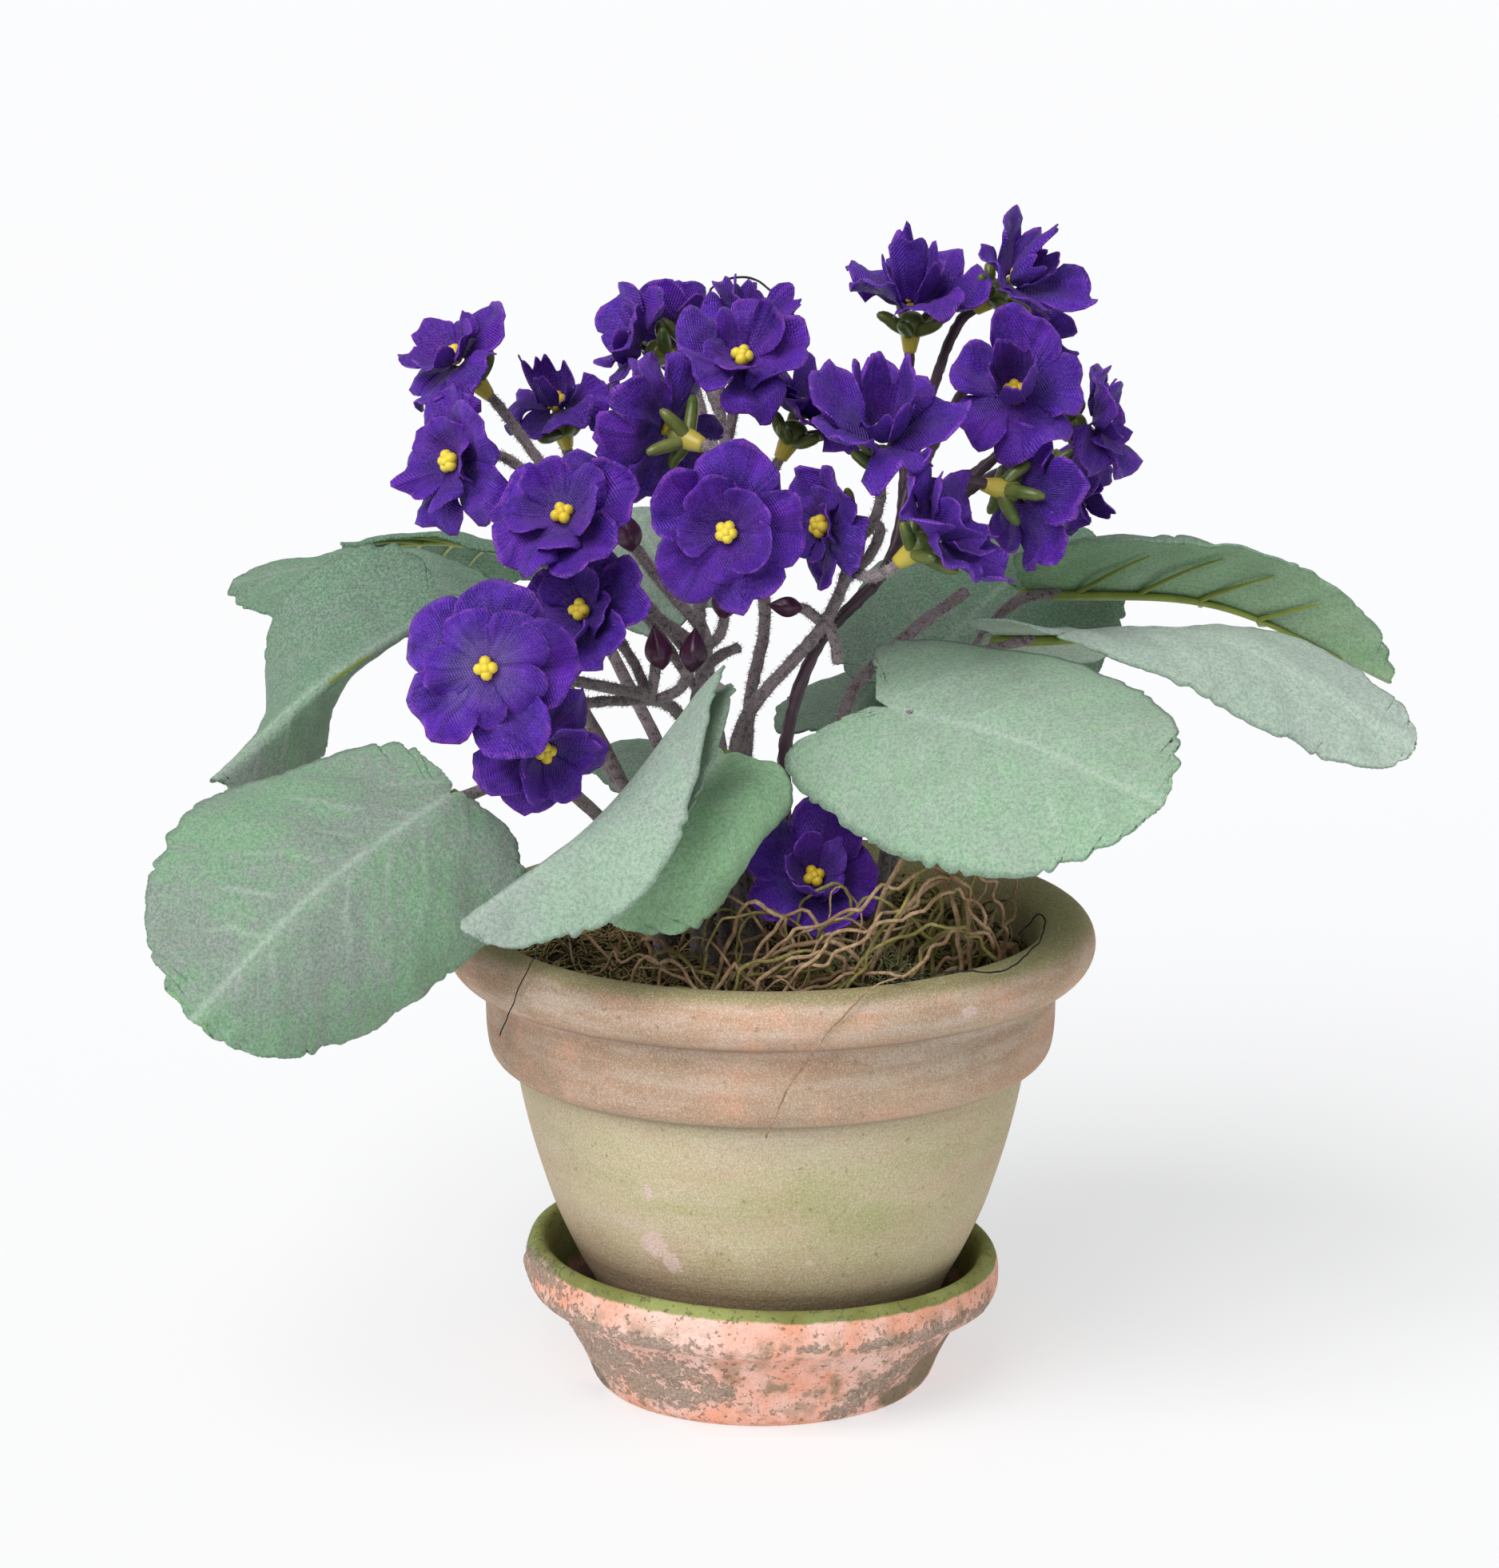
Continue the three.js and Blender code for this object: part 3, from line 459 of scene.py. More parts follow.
def tube(line, radius, sides=8, rough=0.0, seed=0):
    """A closed round bar along line. radius is one number, or one for each point of the line."""
    line = np.asarray(line, float)
    tangent = unit(np.gradient(line, axis=0))
    normals = [unit(np.cross(tangent[0], (0, 0, 1) if abs(tangent[0][2]) < 0.9 else (1, 0, 0)))]
    for way in tangent[1:]:
        normals.append(unit(normals[-1] - way * np.dot(normals[-1], way)))
    normals = np.array(normals)
    binormals = np.cross(tangent, normals)
    turn = np.linspace(0, 2 * math.pi, sides, endpoint=False)
    round_it = normals[:, None] * np.cos(turn)[:, None] + binormals[:, None] * np.sin(turn)[:, None]
    wide = np.broadcast_to(radius, (len(line),))[:, None] * np.ones((1, sides))
    if rough:
        draw = np.random.default_rng(seed)
        wide = wide * (1 + rough * (draw.random((len(line), sides)) - 0.5))
    rings = line[:, None] + round_it * wide[..., None]
    first = line[0] - tangent[0] * wide[0].mean() * END_BULGE
    last = line[-1] + tangent[-1] * wide[-1].mean() * END_BULGE
    return skin(rings, first, last)


# %% [markdown]
# The pot is fired clay that stood in the damp: brown-pink where it was handled, on the rim and the collar,
# olive with algae inside the rim and down the wall, brown at the foot. White salts bloom in fine specks.
# The zones are marks in the mesh, bitten by noise, and grains and salts come from the specks group.


# %% Terracotta
def make_terracotta():
    clay = Finish("terracotta", 0.88, Specular_IOR_Level=0.2)
    flow = clay.stretched(1, 1, 2.4)
    wet_edge = {"scale": 60.0, "bite": 0.4, "softness": 0.35}
    clay.base((0.54, 0.43, 0.28), (0.66, 0.58, 0.39), clay.patchy(17, 0.5, 1.5, seed=1, at=flow))
    green = clay.patchy(24, 0.56, 1.6, seed=4, at=flow)
    clay.lay((0.36, 0.39, 0.135), clay.times(green, clay.mark("algae")), 0.8)
    clay.lay((0.57, 0.40, 0.27), clay.patchy(44, 0.36, 1.0, seed=7, at=flow), 0.65)
    clay.lay((0.32, 0.20, 0.115), clay.bitten("foot", **wet_edge, seed=2), 0.85)
    pink = clay.bitten("pink", **wet_edge, seed=3)
    warm = clay.patchy(24, 0.5, 1.4, seed=8, at=flow)
    clay.lay(clay.mix((0.31, 0.215, 0.145), (0.55, 0.31, 0.205), warm), pink, 0.92)
    fired = clay.patchy(95, 0.24, 0.7, seed=12)
    clay.lay((0.78, 0.36, 0.22), clay.times(fired, pink), 0.6)
    streaks = clay.patchy(55, 0.45, 0.8, seed=5, at=clay.stretched(1, 1, 6))
    clay.lay((0.68, 0.58, 0.50), clay.times(streaks, clay.mark("chalk")), 0.45)
    dank = clay.mix((0.25, 0.20, 0.085), (0.31, 0.30, 0.11), green)
    clay.lay(dank, clay.bitten("moist", **wet_edge, seed=6), 0.9)
    clay.lay((0.74, 0.54, 0.50), clay.bitten("scrape", 500, 0.7, 0.12), 0.7)
    clay.lay((0.22, 0.15, 0.09), clay.speck(2300), 0.34)
    clay.lay((0.88, 0.82, 0.72), clay.ramp(clay.speck(3300, seed=9), 0.5, 1.0, 0.0, 0.3))
    clay.lay((0.16, 0.10, 0.06), clay.patchy(620, 0.14, 0.4, seed=13), 0.5)
    # painted shade: a dark line in the crease under the roll and under the collar
    clay.lay((0.10, 0.06, 0.035), clay.mark("crease_shade"), 0.7)
    thrown = clay.patchy(25, 0.5, 1.8, at=clay.stretched(0.4, 0.4, 14))
    clay.bump(thrown, 0.0003, 0.35)
    clay.bump(clay.speck(1300, 3, "Height"), 0.0003, 0.5)
    return clay.material


TERRACOTTA = make_terracotta()
print("finish", TERRACOTTA.name)

# %% [markdown]
# The saucer is paler and pinker, with a green rim where water stood, and crusts of grey lichen on its left
# wall and in a slanting band on the right, with dark olive slime below that band. Painting alone would
# leave the crusts flat, so the mesh rises there too, and the same mark colours them.


# %% Saucer clay
def make_saucer_clay():
    clay = Finish("saucer_clay", 0.9, Specular_IOR_Level=0.2)
    wet_edge = {"scale": 170.0, "bite": 0.5, "softness": 0.16}
    broad = clay.patchy(40, 0.5, 0.9, seed=11)
    clay.base((0.90, 0.38, 0.24), (0.94, 0.57, 0.47), broad)
    clay.lay((0.92, 0.70, 0.63), clay.patchy(110, 0.42, 0.8, seed=12), 0.6)
    clay.lay((0.15, 0.15, 0.085), clay.bitten("slime", **wet_edge, seed=13), 0.85)
    dirt = clay.times(clay.patchy(230, 0.42, 0.5, seed=14), clay.mark("dirt"))
    clay.lay((0.27, 0.21, 0.12), dirt, 0.8)
    clay.lay((0.24, 0.15, 0.10), clay.patchy(520, 0.16, 0.3, seed=20), 0.6)
    lush = clay.mix((0.13, 0.19, 0.035), (0.27, 0.35, 0.09), broad)
    clay.lay(lush, clay.bitten("moist", **wet_edge, seed=15), 0.92)
    # painted shade inside the dish: darker towards its floor, almost black at the bottom
    clay.lay((0.035, 0.025, 0.015), clay.mark("deep"))
    clay.lay((0.70, 0.53, 0.46), clay.bitten("crust", 240, 0.7, 0.35, seed=21), 0.62)
    crust = clay.bitten("crust", 760, 2.3, 0.14, seed=16)
    lichen = clay.mix((0.35, 0.305, 0.22), (0.085, 0.077, 0.05), clay.speck(1500, seed=17))
    clay.lay(lichen, crust, 0.66)
    clay.lay((0.2, 0.12, 0.08), clay.speck(2400, seed=18), 0.22)
    clay.bump(clay.speck(1100, 19, "Height"), 0.0003, 0.45)
    clay.bump(crust, 0.0005, 0.7)
    return clay.material


SAUCER_CLAY = make_saucer_clay()
print("finish", SAUCER_CLAY.name)

# %% [markdown]
# Under the moss lies dark dry mix, and on it dried moss in three tones, root strands and bits of bark.
# All of them are matt and crumbly, and differ in colour and in how coarse their specks are, so one recipe
# with a few values makes them all.


# %% Dry stuff
def make_dry(name, dark, light, scale, seed):
    stuff = Finish(name, 0.95, Specular_IOR_Level=0.15)
    stuff.base(dark, light, stuff.patchy(scale * 0.12, 0.5, 1.4, seed))
    stuff.lay(dark, stuff.speck(scale, seed), 0.6)
    stuff.bump(stuff.speck(scale, seed, "Height"), 0.0004, 0.6)
    return stuff.material


SOIL = make_dry("potting_mix", (0.012, 0.008, 0.005), (0.06, 0.04, 0.024), 900, 21)
MOSS_BROWN = make_dry("moss_brown", (0.15, 0.095, 0.045), (0.42, 0.30, 0.17), 1400, 22)
MOSS_OLIVE = make_dry("moss_olive", (0.14, 0.12, 0.035), (0.38, 0.33, 0.13), 1400, 23)
MOSS_DARK = make_dry("moss_dark", (0.022, 0.017, 0.010), (0.09, 0.07, 0.04), 1400, 24)
LICHEN_GREEN = make_dry("lichen_green", (0.16, 0.16, 0.07), (0.38, 0.37, 0.20), 1600, 25)
ROOT = make_dry("root", (0.20, 0.115, 0.06), (0.56, 0.40, 0.25), 1200, 26)
BARK = make_dry("bark", (0.16, 0.09, 0.05), (0.62, 0.42, 0.28), 700, 27)
THREAD = make_dry("dark_thread", (0.012, 0.014, 0.012), (0.05, 0.055, 0.045), 2500, 28)
print("eight dry finishes")

# %% [markdown]
# The stems are moulded plastic. Most are flocked: glued all over with short grey-mauve fibres, so they
# look dusty, with dark pits where fibres are missing. A few are bare: smooth, dark plum and a little
# shiny, as are the buds. The calyxes are clear green plastic that turns yellow down the tube.


# %% Plastics
def make_flock():
    plain = {"Sheen_Weight": 0.35, "Sheen_Roughness": 0.5, "Sheen_Tint": (0.85, 0.8, 0.82)}
    flock = Finish("flocked_stem", 0.95, Specular_IOR_Level=0.1, **plain)
    flock.base((0.15, 0.11, 0.115), (0.27, 0.215, 0.23), flock.patchy(90, 0.5, 1.3, 31))
    flock.lay((0.05, 0.035, 0.04), flock.patchy(800, 0.42, 0.3, 32), 0.8)
    flock.lay((0.50, 0.44, 0.45), flock.speck(3600, 33), 0.35)
    flock.bump(flock.speck(2400, 34, "Height"), 0.0004, 0.8)
    return flock.material


def make_smooth(name, dark, light, roughness, seed):
    smooth = Finish(name, roughness)
    smooth.base(dark, light, smooth.patchy(120, 0.5, 1.5, seed))
    smooth.bump(smooth.speck(700, seed, "Height"), 0.0002, 0.35)
    return smooth.material


def make_calyx():
    radius = {"Subsurface_Radius": (1.0, 0.9, 0.2)}
    calyx = Finish("calyx_plastic", 0.3, Subsurface_Weight=0.25, Subsurface_Scale=0.002, **radius)
    tip = calyx.mark("green")
    calyx.base((0.55, 0.43, 0.05), (0.30, 0.33, 0.035), calyx.ramp(tip, 0.1, 0.5))
    calyx.lay((0.032, 0.085, 0.012), calyx.ramp(tip, 0.28, 0.62))
    calyx.lay((0.42, 0.36, 0.10), calyx.patchy(160, 0.5, 1.5, 36), 0.4)
    calyx.bump(calyx.speck(500, 37, "Height"), 0.0003, 0.3)
    return calyx.material


FLOCK = make_flock()
FIBRE = make_dry("flock_fibre", (0.34, 0.30, 0.31), (0.60, 0.56, 0.56), 1500, 38)
PLUM_STEM = make_smooth("plum_stem", (0.035, 0.016, 0.026), (0.085, 0.045, 0.065), 0.42, 39)
PLUM_BUD = make_smooth("plum_bud", (0.030, 0.006, 0.022), (0.085, 0.018, 0.060), 0.3, 40)
EYE = make_smooth("eye_yellow", (0.70, 0.47, 0.02), (0.88, 0.72, 0.07), 0.45, 41)
RIB_GREEN = make_smooth("rib_plastic", (0.16, 0.21, 0.03), (0.26, 0.32, 0.05), 0.4, 42)
CALYX = make_calyx()
print("seven moulded finishes")

# %% [markdown]
# Each bloom is two punched layers of violet cloth. Towards the middle it is darker and bluer: a bluer dye,
# and painted shade deep in the cup. The dye is redder in soft clouds, and the cut margin is paler where
# threads fray. Folds run outwards from the pin, with painted shade that darkens them against the cloth
# between them. Cloth has a sheen: it brightens where it turns away. The ribs of the weave are bump, and
# they also shade the colour a little.


# %% Petal cloth
def make_petal_cloth():
    plain = {"Sheen_Weight": 0.3, "Sheen_Roughness": 0.35, "Sheen_Tint": (0.5, 0.28, 1.0)}
    petal = Finish("petal_cloth", 0.45, Specular_IOR_Level=0.25, **plain)
    margin = petal.mark("margin")
    # the dark base stays near the pin: painted shade deep in the cup, with a bluer dye; the full violet is
    # laid over it from there out to the margin
    petal.base((0.026, 0.012, 0.13), (0.15, 0.115, 0.34), petal.mark("pale"))
    petal.lay((0.098, 0.012, 0.47), petal.ramp(margin, 0.25, 0.85))
    petal.lay((0.16, 0.014, 0.46), petal.patchy(80, 0.42, 1.0, 51), 0.75)
    petal.lay((0.030, 0.006, 0.19), petal.patchy(130, 0.40, 1.0, 53), 0.7)
    outward = petal.add("ShaderNodeVectorMath", operation="NORMALIZE", Vector=petal.flat()).outputs[0]
    # painted shade along the folds; the same mask bumps their relief below
    folds_and_shade = petal.times(petal.patchy(9, 0.42, 0.9, 55, at=outward), petal.ramp(margin, 0.15, 0.5))
    petal.lay((0.018, 0.004, 0.12), folds_and_shade, 0.55)
    frayed = petal.times(petal.patchy(420, 0.5, 0.6, 54), petal.ramp(margin, 0.90, 1.0, 0.0, 0.6))
    petal.lay((0.36, 0.08, 0.66), frayed)
    ribs = petal.group(weave, "Height", Vector=petal.flat(), Threads=19.0, Slant=0.45)
    petal.lay((0.018, 0.004, 0.10), petal.ramp(ribs, 0.85, 0.15), 0.45)
    petal.lay((0.36, 0.18, 0.85), petal.speck(2400, 52), 0.12)
    petal.bump(folds_and_shade, 0.0006, 0.5)
    petal.bump(ribs, 0.00015)
    return petal.material


PETAL = make_petal_cloth()
print("finish", PETAL.name)

# %% [markdown]
# The leaves are felted cloth, printed in grey-green. Seen close, green and mauve-grey streaks run with
# the side veins, the midrib is a broad pale band, and pale fibres lie all over. The pattern needs to
# follow the leaf, so it reads the leaf's flat coordinates: how far along the midrib, how far across.

# %% Leaf cloth
VEIN_SPACING = 0.95  # centimetres along the midrib
VEIN_SWEEP = 0.75  # how far a side vein runs forward for each centimetre across


def vein_map(leaf, seed):
    """The streaks and the veins, as masks that follow the flat leaf, and the place across it."""
    flat_at = leaf.add("ShaderNodeSeparateXYZ", Vector=leaf.flat()).outputs
    away = leaf.math("ABSOLUTE", flat_at["Y"])
    forward = leaf.math("MULTIPLY_ADD", away, -VEIN_SWEEP, flat_at["X"])
    forward = leaf.math("MULTIPLY_ADD", leaf.speck(55, seed + 6, "Height"), 1.3, forward)
    streak_at = leaf.add("ShaderNodeCombineXYZ", X=leaf.times(forward, 3.0), Y=away).outputs[0]
    streaks = leaf.patchy(0.9, 0.5, 1.4, seed, at=streak_at)
    veins = leaf.math("PINGPONG", leaf.math("DIVIDE", forward, VEIN_SPACING), 0.5)
    veins = leaf.times(leaf.ramp(veins, 0.34, 0.5), leaf.ramp(leaf.mark("margin"), 0.9, 0.2))
    broken = leaf.times(leaf.patchy(70, 0.42, 1.0, seed + 2), 0.75)
    return streaks, leaf.times(veins, broken), away


def make_leaf_cloth(name, green, mauve, pale, seed, rib_strength):
    plain = {"Sheen_Weight": 0.12, "Sheen_Roughness": 0.5, "Sheen_Tint": (0.9, 1.0, 0.92)}
    leaf = Finish(name, 0.92, Specular_IOR_Level=0.12, **plain)
    streaks, veins, away = vein_map(leaf, seed)
    fine = leaf.patchy(330, 0.5, 1.0, seed + 1)
    mottle = leaf.math("MULTIPLY_ADD", fine, 0.22, leaf.times(streaks, 0.28))
    mottle = leaf.math("MULTIPLY_ADD", leaf.patchy(38, 0.5, 1.2, seed + 4), 0.5, mottle)
    leaf.base(green, mauve, leaf.ramp(mottle, 0.2, 0.8))
    # a brighter fresh green: partly the felt's own colour, partly painted light on leaves that face away
    # from the light
    leaf.lay((0.30, 0.64, 0.26), leaf.mark("fresh"), 0.6)
    leaf.lay((0.50, 0.58, 0.52), leaf.mark("hoar"), 0.75)
    narrow, wide = leaf.ramp(away, 0.11, 0.0), leaf.ramp(away, 0.4, 0.0, 0.0, 0.22)
    midrib = leaf.math("MULTIPLY_ADD", narrow, 0.6, wide)
    leaf.lay(pale, leaf.math("MAXIMUM", midrib, veins), rib_strength)
    # painted shade on leaves and leaf halves that face away from the light
    leaf.lay((0.045, 0.12, 0.06), leaf.mark("dusk"), 0.8)
    leaf.lay((0.07, 0.15, 0.09), leaf.ramp(leaf.mark("margin"), 0.93, 1.0, 0.0, 0.5), 0.8)
    leaf.lay((0.06, 0.12, 0.10), leaf.speck(1300, seed + 3), 0.34)
    leaf.lay((0.62, 0.74, 0.66), leaf.speck(2100, seed), 0.2)
    leaf.bump(leaf.speck(1900, seed, "Height"), 0.0003, 0.5)
    return leaf.material


TOP_TONES = [(0.180, 0.34, 0.185), (0.225, 0.265, 0.225), (0.48, 0.58, 0.48)]
UNDER_TONES = [(0.19, 0.38, 0.16), (0.24, 0.37, 0.21), (0.36, 0.48, 0.22)]
LEAF_TOP = make_leaf_cloth("leaf_cloth", *TOP_TONES, 61, 0.62)
LEAF_UNDER = make_leaf_cloth("leaf_back", *UNDER_TONES, 71, 0.7)
print("finish", LEAF_TOP.name, LEAF_UNDER.name)

# %% [markdown]
# The floor is a plain pale sheet that runs far behind the object, so that the camera sees nothing else.
# It is one wide face, and no part of the plant, only the stage. It glows a little: a painted glow that
# fills in the shadows on it and lights the plant a little from below, so that only the faintest shadow
# lies on it.

# %% Floor
FLOOR_REACH = 15.0  # metres each way
# painted glow of the floor, which fills in the shadows on it
FLOOR_SHADOW_FILL = {"Emission_Strength": 0.56, "Emission_Color": (0.985, 0.99, 1.0)}


def make_floor():
    paper = Finish("floor_paper", 0.85, Specular_IOR_Level=0.1, **FLOOR_SHADOW_FILL)
    paper.base((0.395, 0.397, 0.405), (0.40, 0.40, 0.402), paper.patchy(0.8, 0.5, 1.8, 81))
    mesh = bpy.data.meshes.new("floor")
    corners = [(-1, -1), (1, -1), (1, 1), (-1, 1)]
    mesh.from_pydata([(x * FLOOR_REACH, y * FLOOR_REACH, 0) for x, y in corners], [], [(0, 1, 2, 3)])
    mesh.materials.append(paper.material)
    in_scene("floor", mesh)


make_floor()
print("floor laid")

# %% [markdown]
# The pot was turned on a wheel, so its shape is one profile carried round an axis: a narrow foot, a wall
# that bellies out, a collar, and a rolled rim. A lathe modifier would do that, but it can't mark the
# zones of the finish. The profile is drawn here as smooth stretches and arcs, and every point of it says
# how moist, pink or chalky the clay is there. Small slow waves keep the rim from being a perfect circle.


# %% Turning on the wheel
def turn_profile(profile, sides, wobble):
    """Rings round the axis from [radius, height] points, each radius waved slowly by wobble."""
    profile = np.asarray(profile, float)
    angle = np.linspace(0, 2 * math.pi, sides, endpoint=False)
    wave = np.sin(2 * angle + 0.6) + 0.6 * np.sin(3 * angle + 2.0) + 0.4 * np.sin(7 * angle)
    radius = profile[:, :1] + wobble * wave * (profile[:, :1] > 10)
    height = profile[:, 1:2] + 0.35 * wobble * np.sin(2 * angle + 1.7) * (profile[:, 1:2] > 20)
    return np.stack([radius * np.cos(angle), radius * np.sin(angle), height], -1), angle


def arc(middle, radius, start, end, count):
    turn = np.radians(np.linspace(start, end, count))
    return np.stack([middle[0] + radius * np.cos(turn), middle[1] + radius * np.sin(turn)], 1)


def drawn(points, spacing):
    flat_points = [(radius, height, 0) for radius, height in points]
    return smooth_line(flat_points, spacing)[:, :2]


def near(angle, height, spots):
    """A number from 0 to 1 round each spot: degrees right of the front, height, reach round, reach up."""
    right = np.degrees(angle) + 90
    value = np.zeros(np.broadcast_shapes(angle.shape, height.shape))
    for at, up, wide, tall in spots:
        away = (right - at + 180) % 360 - 180
        value = np.maximum(value, np.exp(-((away / wide) ** 2) - ((height - up) / tall) ** 2))
    return value


def zone(value, start, reach):
    """0 up to start, and 1 from a reach further on."""
    return np.clip((value - start) / reach, 0, 1)


# %% Pot
POT_SIDES = 240
POT_WOBBLE = 0.16
POT_WALL = [
    (27, 5.3), (29.6, 9.4), (31.7, 14), (34.4, 21), (37.4, 26.4), (39.6, 31), (41.6, 35.6), (43.3, 40.4),
    (46.2, 50), (48.3, 59), (49.3, 65.2),
]  # fmt: skip
COLLAR = [(50.4, 65.8), (52.6, 66.1), (54.0, 67.6), (54.7, 71), (54.9, 76), (54.9, 80.2), (55.6, 81.9)]
ROLL = arc((56.9, 87.9), 5.6, -62, 168, 26)
POT_INSIDE = [(50, 79), (47, 62), (41, 45), (33, 27), (24, 14), (5.5, 12.5)]
DRAIN = [(5.5, 5.3), (14, 5.2)]
# painted shade in the creases under the roll and the collar: where each dark line lies, and how far it
# reaches
SHADED_CREASES = ((82.4, 0.9), (65.6, 0.8))  # dark lines under the roll and the collar: height, reach
POT_ALGAE = [
    (-12, 50, 34, 11), (24, 44, 34, 11), (-28, 36, 22, 8), (52, 56, 24, 10), (-6, 26, 30, 6),
    (180, 45, 70, 14),
]  # fmt: skip
POT_CHALK = [(-70, 60, 22, 20), (-8, 62, 34, 6), (-30, 44, 20, 8)]
POT_SCRAPES = [
    (-30, 49.7, 1.2, 2.4), (-31, 38.0, 4.5, 3.4), (-27, 34.5, 3.5, 2.5), (10, 36, 1.2, 1.2),
    (36, 88, 2, 1.4),
]  # fmt: skip


def pot_marks(height, angle, row, starts):
    """Where the pot is green, pink, worn or painted with shade in its creases. starts are the rows where its
    stretches start.
    """
    collar, roll, inside = starts[1:4]
    share = zone(row, roll, inside - roll)
    start = 0.41 - 0.1 * np.clip(np.sin(angle + 0.5), 0, 1) - 0.08 * (0.5 + 0.5 * np.cos(angle + 0.2))
    pink = zone(height, 64.5, 3) * (row < inside) * (0.66 + 0.3 * (0.5 + 0.5 * np.sin(angle - 0.9)))
    chalk = zone(height, 60, 20) * np.where(share < 0.6, 1, 0.2)
    crease_shade = sum(np.exp(-(((height - at) / reach) ** 2)) for at, reach in SHADED_CREASES)
    return {
        "moist": np.where(row >= inside - 1, 1.0, zone(share, start, 0.2)) * np.ones_like(height),
        "pink": pink,
        "foot": np.clip(1.35 - (height - 5) / 29 - 0.25 * np.cos(angle - 0.3), 0, 1) * (row < collar),
        "chalk": np.maximum(chalk, 0.8 * near(angle[None], height, POT_CHALK)),
        "scrape": near(angle[None], height, POT_SCRAPES) * (row < inside),
        "algae": 0.3 + 0.95 * near(angle[None], height, POT_ALGAE),
        "crease_shade": np.clip(crease_shade * (row < roll + 4) * (row > 2), 0, 1),
    }


def make_pot():
    stretches = [DRAIN, drawn(POT_WALL, 1.1), drawn(COLLAR, 0.8), ROLL, drawn(POT_INSIDE, 3.0)]
    rings, angle = turn_profile(np.vstack(stretches), POT_SIDES, POT_WOBBLE)
    row = np.arange(len(rings))[:, None]
    marks = pot_marks(rings[..., 2], angle, row, np.cumsum([len(stretch) for stretch in stretches]))
    stock = Stock(*marks)
    stock.add(*skin(rings, loop=True), **marks)
    return stock.piece("pot_wall", [TERRACOTTA], "pot", "terracotta")


pot = make_pot()
print("pot faces", len(pot.data.polygons))

# %% [markdown]
# The saucer has a banded lip and leans: its left side is a little higher. Its profile is turned like the
# pot's, then sheared up on the left. The crusts of lichen lift off the wall by half a millimetre in
# crumbs, by noise that is only let in where the crust mark is strong.

# %% Saucer
SAUCER_SIDES = 300
SAUCER_WOBBLE = 0.12
SAUCER_LEAN = 0.045
SAUCER_RADIUS = 46
SAUCER_OUT = [
    (31.6, 0), (32.9, 1.2), (34.6, 5.2), (36.6, 9.5), (39.0, 13.8), (41.2, 17.0), (43.2, 17.5), (44.6, 17.9),
    (45.7, 19.6), (46.0, 22.6), (45.7, 25.2), (44.9, 26.9), (43.6, 27.5), (42.3, 26.7),
]  # fmt: skip
SAUCER_IN = [(41.2, 23.7), (39.2, 18), (36.8, 12.5), (33.4, 6.4), (30.6, 5), (2, 5)]
LICHEN = [
    (-62, 9, 14, 6), (-48, 12, 12, 4), (-40, 7, 12, 4.5), (-28, 12, 11, 3), (-26, 6, 9, 3), (-76, 13, 12, 6),
    (-14, 8, 6, 3), (-52, 19.5, 18, 1.6), (-30, 19.3, 16, 1.4), (-86, 22, 14, 3.6), (-70, 24.6, 14, 2.2),
    (26, 2.0, 5, 1.8), (32, 4.2, 6, 2.4), (39, 7.0, 7, 2.8), (46, 9.8, 7, 2.8), (54, 12.6, 7, 2.6),
    (46, 20.2, 12, 1.7), (66, 19.8, 9, 2.0), (28, 20, 7, 1.2), (168, 9, 16, 5), (-140, 12, 14, 4),
    (110, 8, 9, 4), (12, 20.5, 5, 1.0),
]  # fmt: skip
SLIME = [
    (64, 6, 16, 6), (50, 2.6, 11, 3), (76, 12, 12, 6), (150, 5, 16, 4), (-70, 3, 10, 3),
    (-80, 25.5, 14, 1.6),
]  # fmt: skip
DIRT = [
    (-45, 20, 60, 2.8), (10, 19.2, 60, 3.0), (0, 20.5, 80, 2.0), (0, 9, 70, 8), (180, 12, 90, 9),
    (60, 22, 24, 2.4),
]  # fmt: skip
CRUST_RISE = 0.7  # millimetres


def make_saucer():
    out = drawn(SAUCER_OUT, 0.75)
    profile = np.vstack([[(4, 0)], out, drawn(SAUCER_IN, 2.0)])
    rings, angle = turn_profile(profile, SAUCER_SIDES, SAUCER_WOBBLE)
    height = rings[..., 2].copy()
    row = np.arange(len(profile))[:, None]
    outside = (row <= len(out)) & (row > 0)
    spots = {"crust": LICHEN, "slime": SLIME, "dirt": DIRT}
    marks = {mark: near(angle[None], height, where) * outside for mark, where in spots.items()}
    marks["moist"] = np.where(outside, zone(height, 24.6, 2), zone(height, 15, 6))
    # painted shade inside the dish, stronger down towards its floor
    marks["deep"] = np.where(outside | (row == 0), 0, np.clip((21 - height) / 9, 0, 0.93))
    points, faces = skin(rings, first=(0, 0, 0), last=(0, 0, 5))
    marks = {mark: np.append(value.ravel(), value.ravel()[-1:].repeat(2)) for mark, value in marks.items()}
    crumbs = lumps(points, 0.75) + 0.5 * lumps(points, 1.9)
    lift = np.append(marks["crust"][:-2], (0, 0)) ** 2 * np.clip(0.5 + crumbs, 0, 1) * CRUST_RISE
    points[:, :2] += unit(points[:, :2]) * lift[:, None]
    over = np.maximum(0, points[:, 2] - 6)
    points[:, 2] -= over * SAUCER_LEAN * points[:, 0] * 2 / SAUCER_RADIUS
    stock = Stock(*marks)
    stock.add(points, faces, **marks)
    return stock.piece("saucer_dish", [SAUCER_CLAY], "saucer", "saucer_clay", shift=0)


saucer = make_saucer()
print("saucer faces", len(saucer.data.polygons))

# %% [markdown]
# Potting mix fills the pot to a finger below the rim. Only its top is ever seen, between the moss strands,
# but it is a closed body like the solid it stands for. The top is crumbly: noise lifts its rings.

# %% Potting mix
SOIL_SIDE = [(38, 40), (45.9, 62), (49.1, 78.5), (48, 80)]
SOIL_RINGS = 16


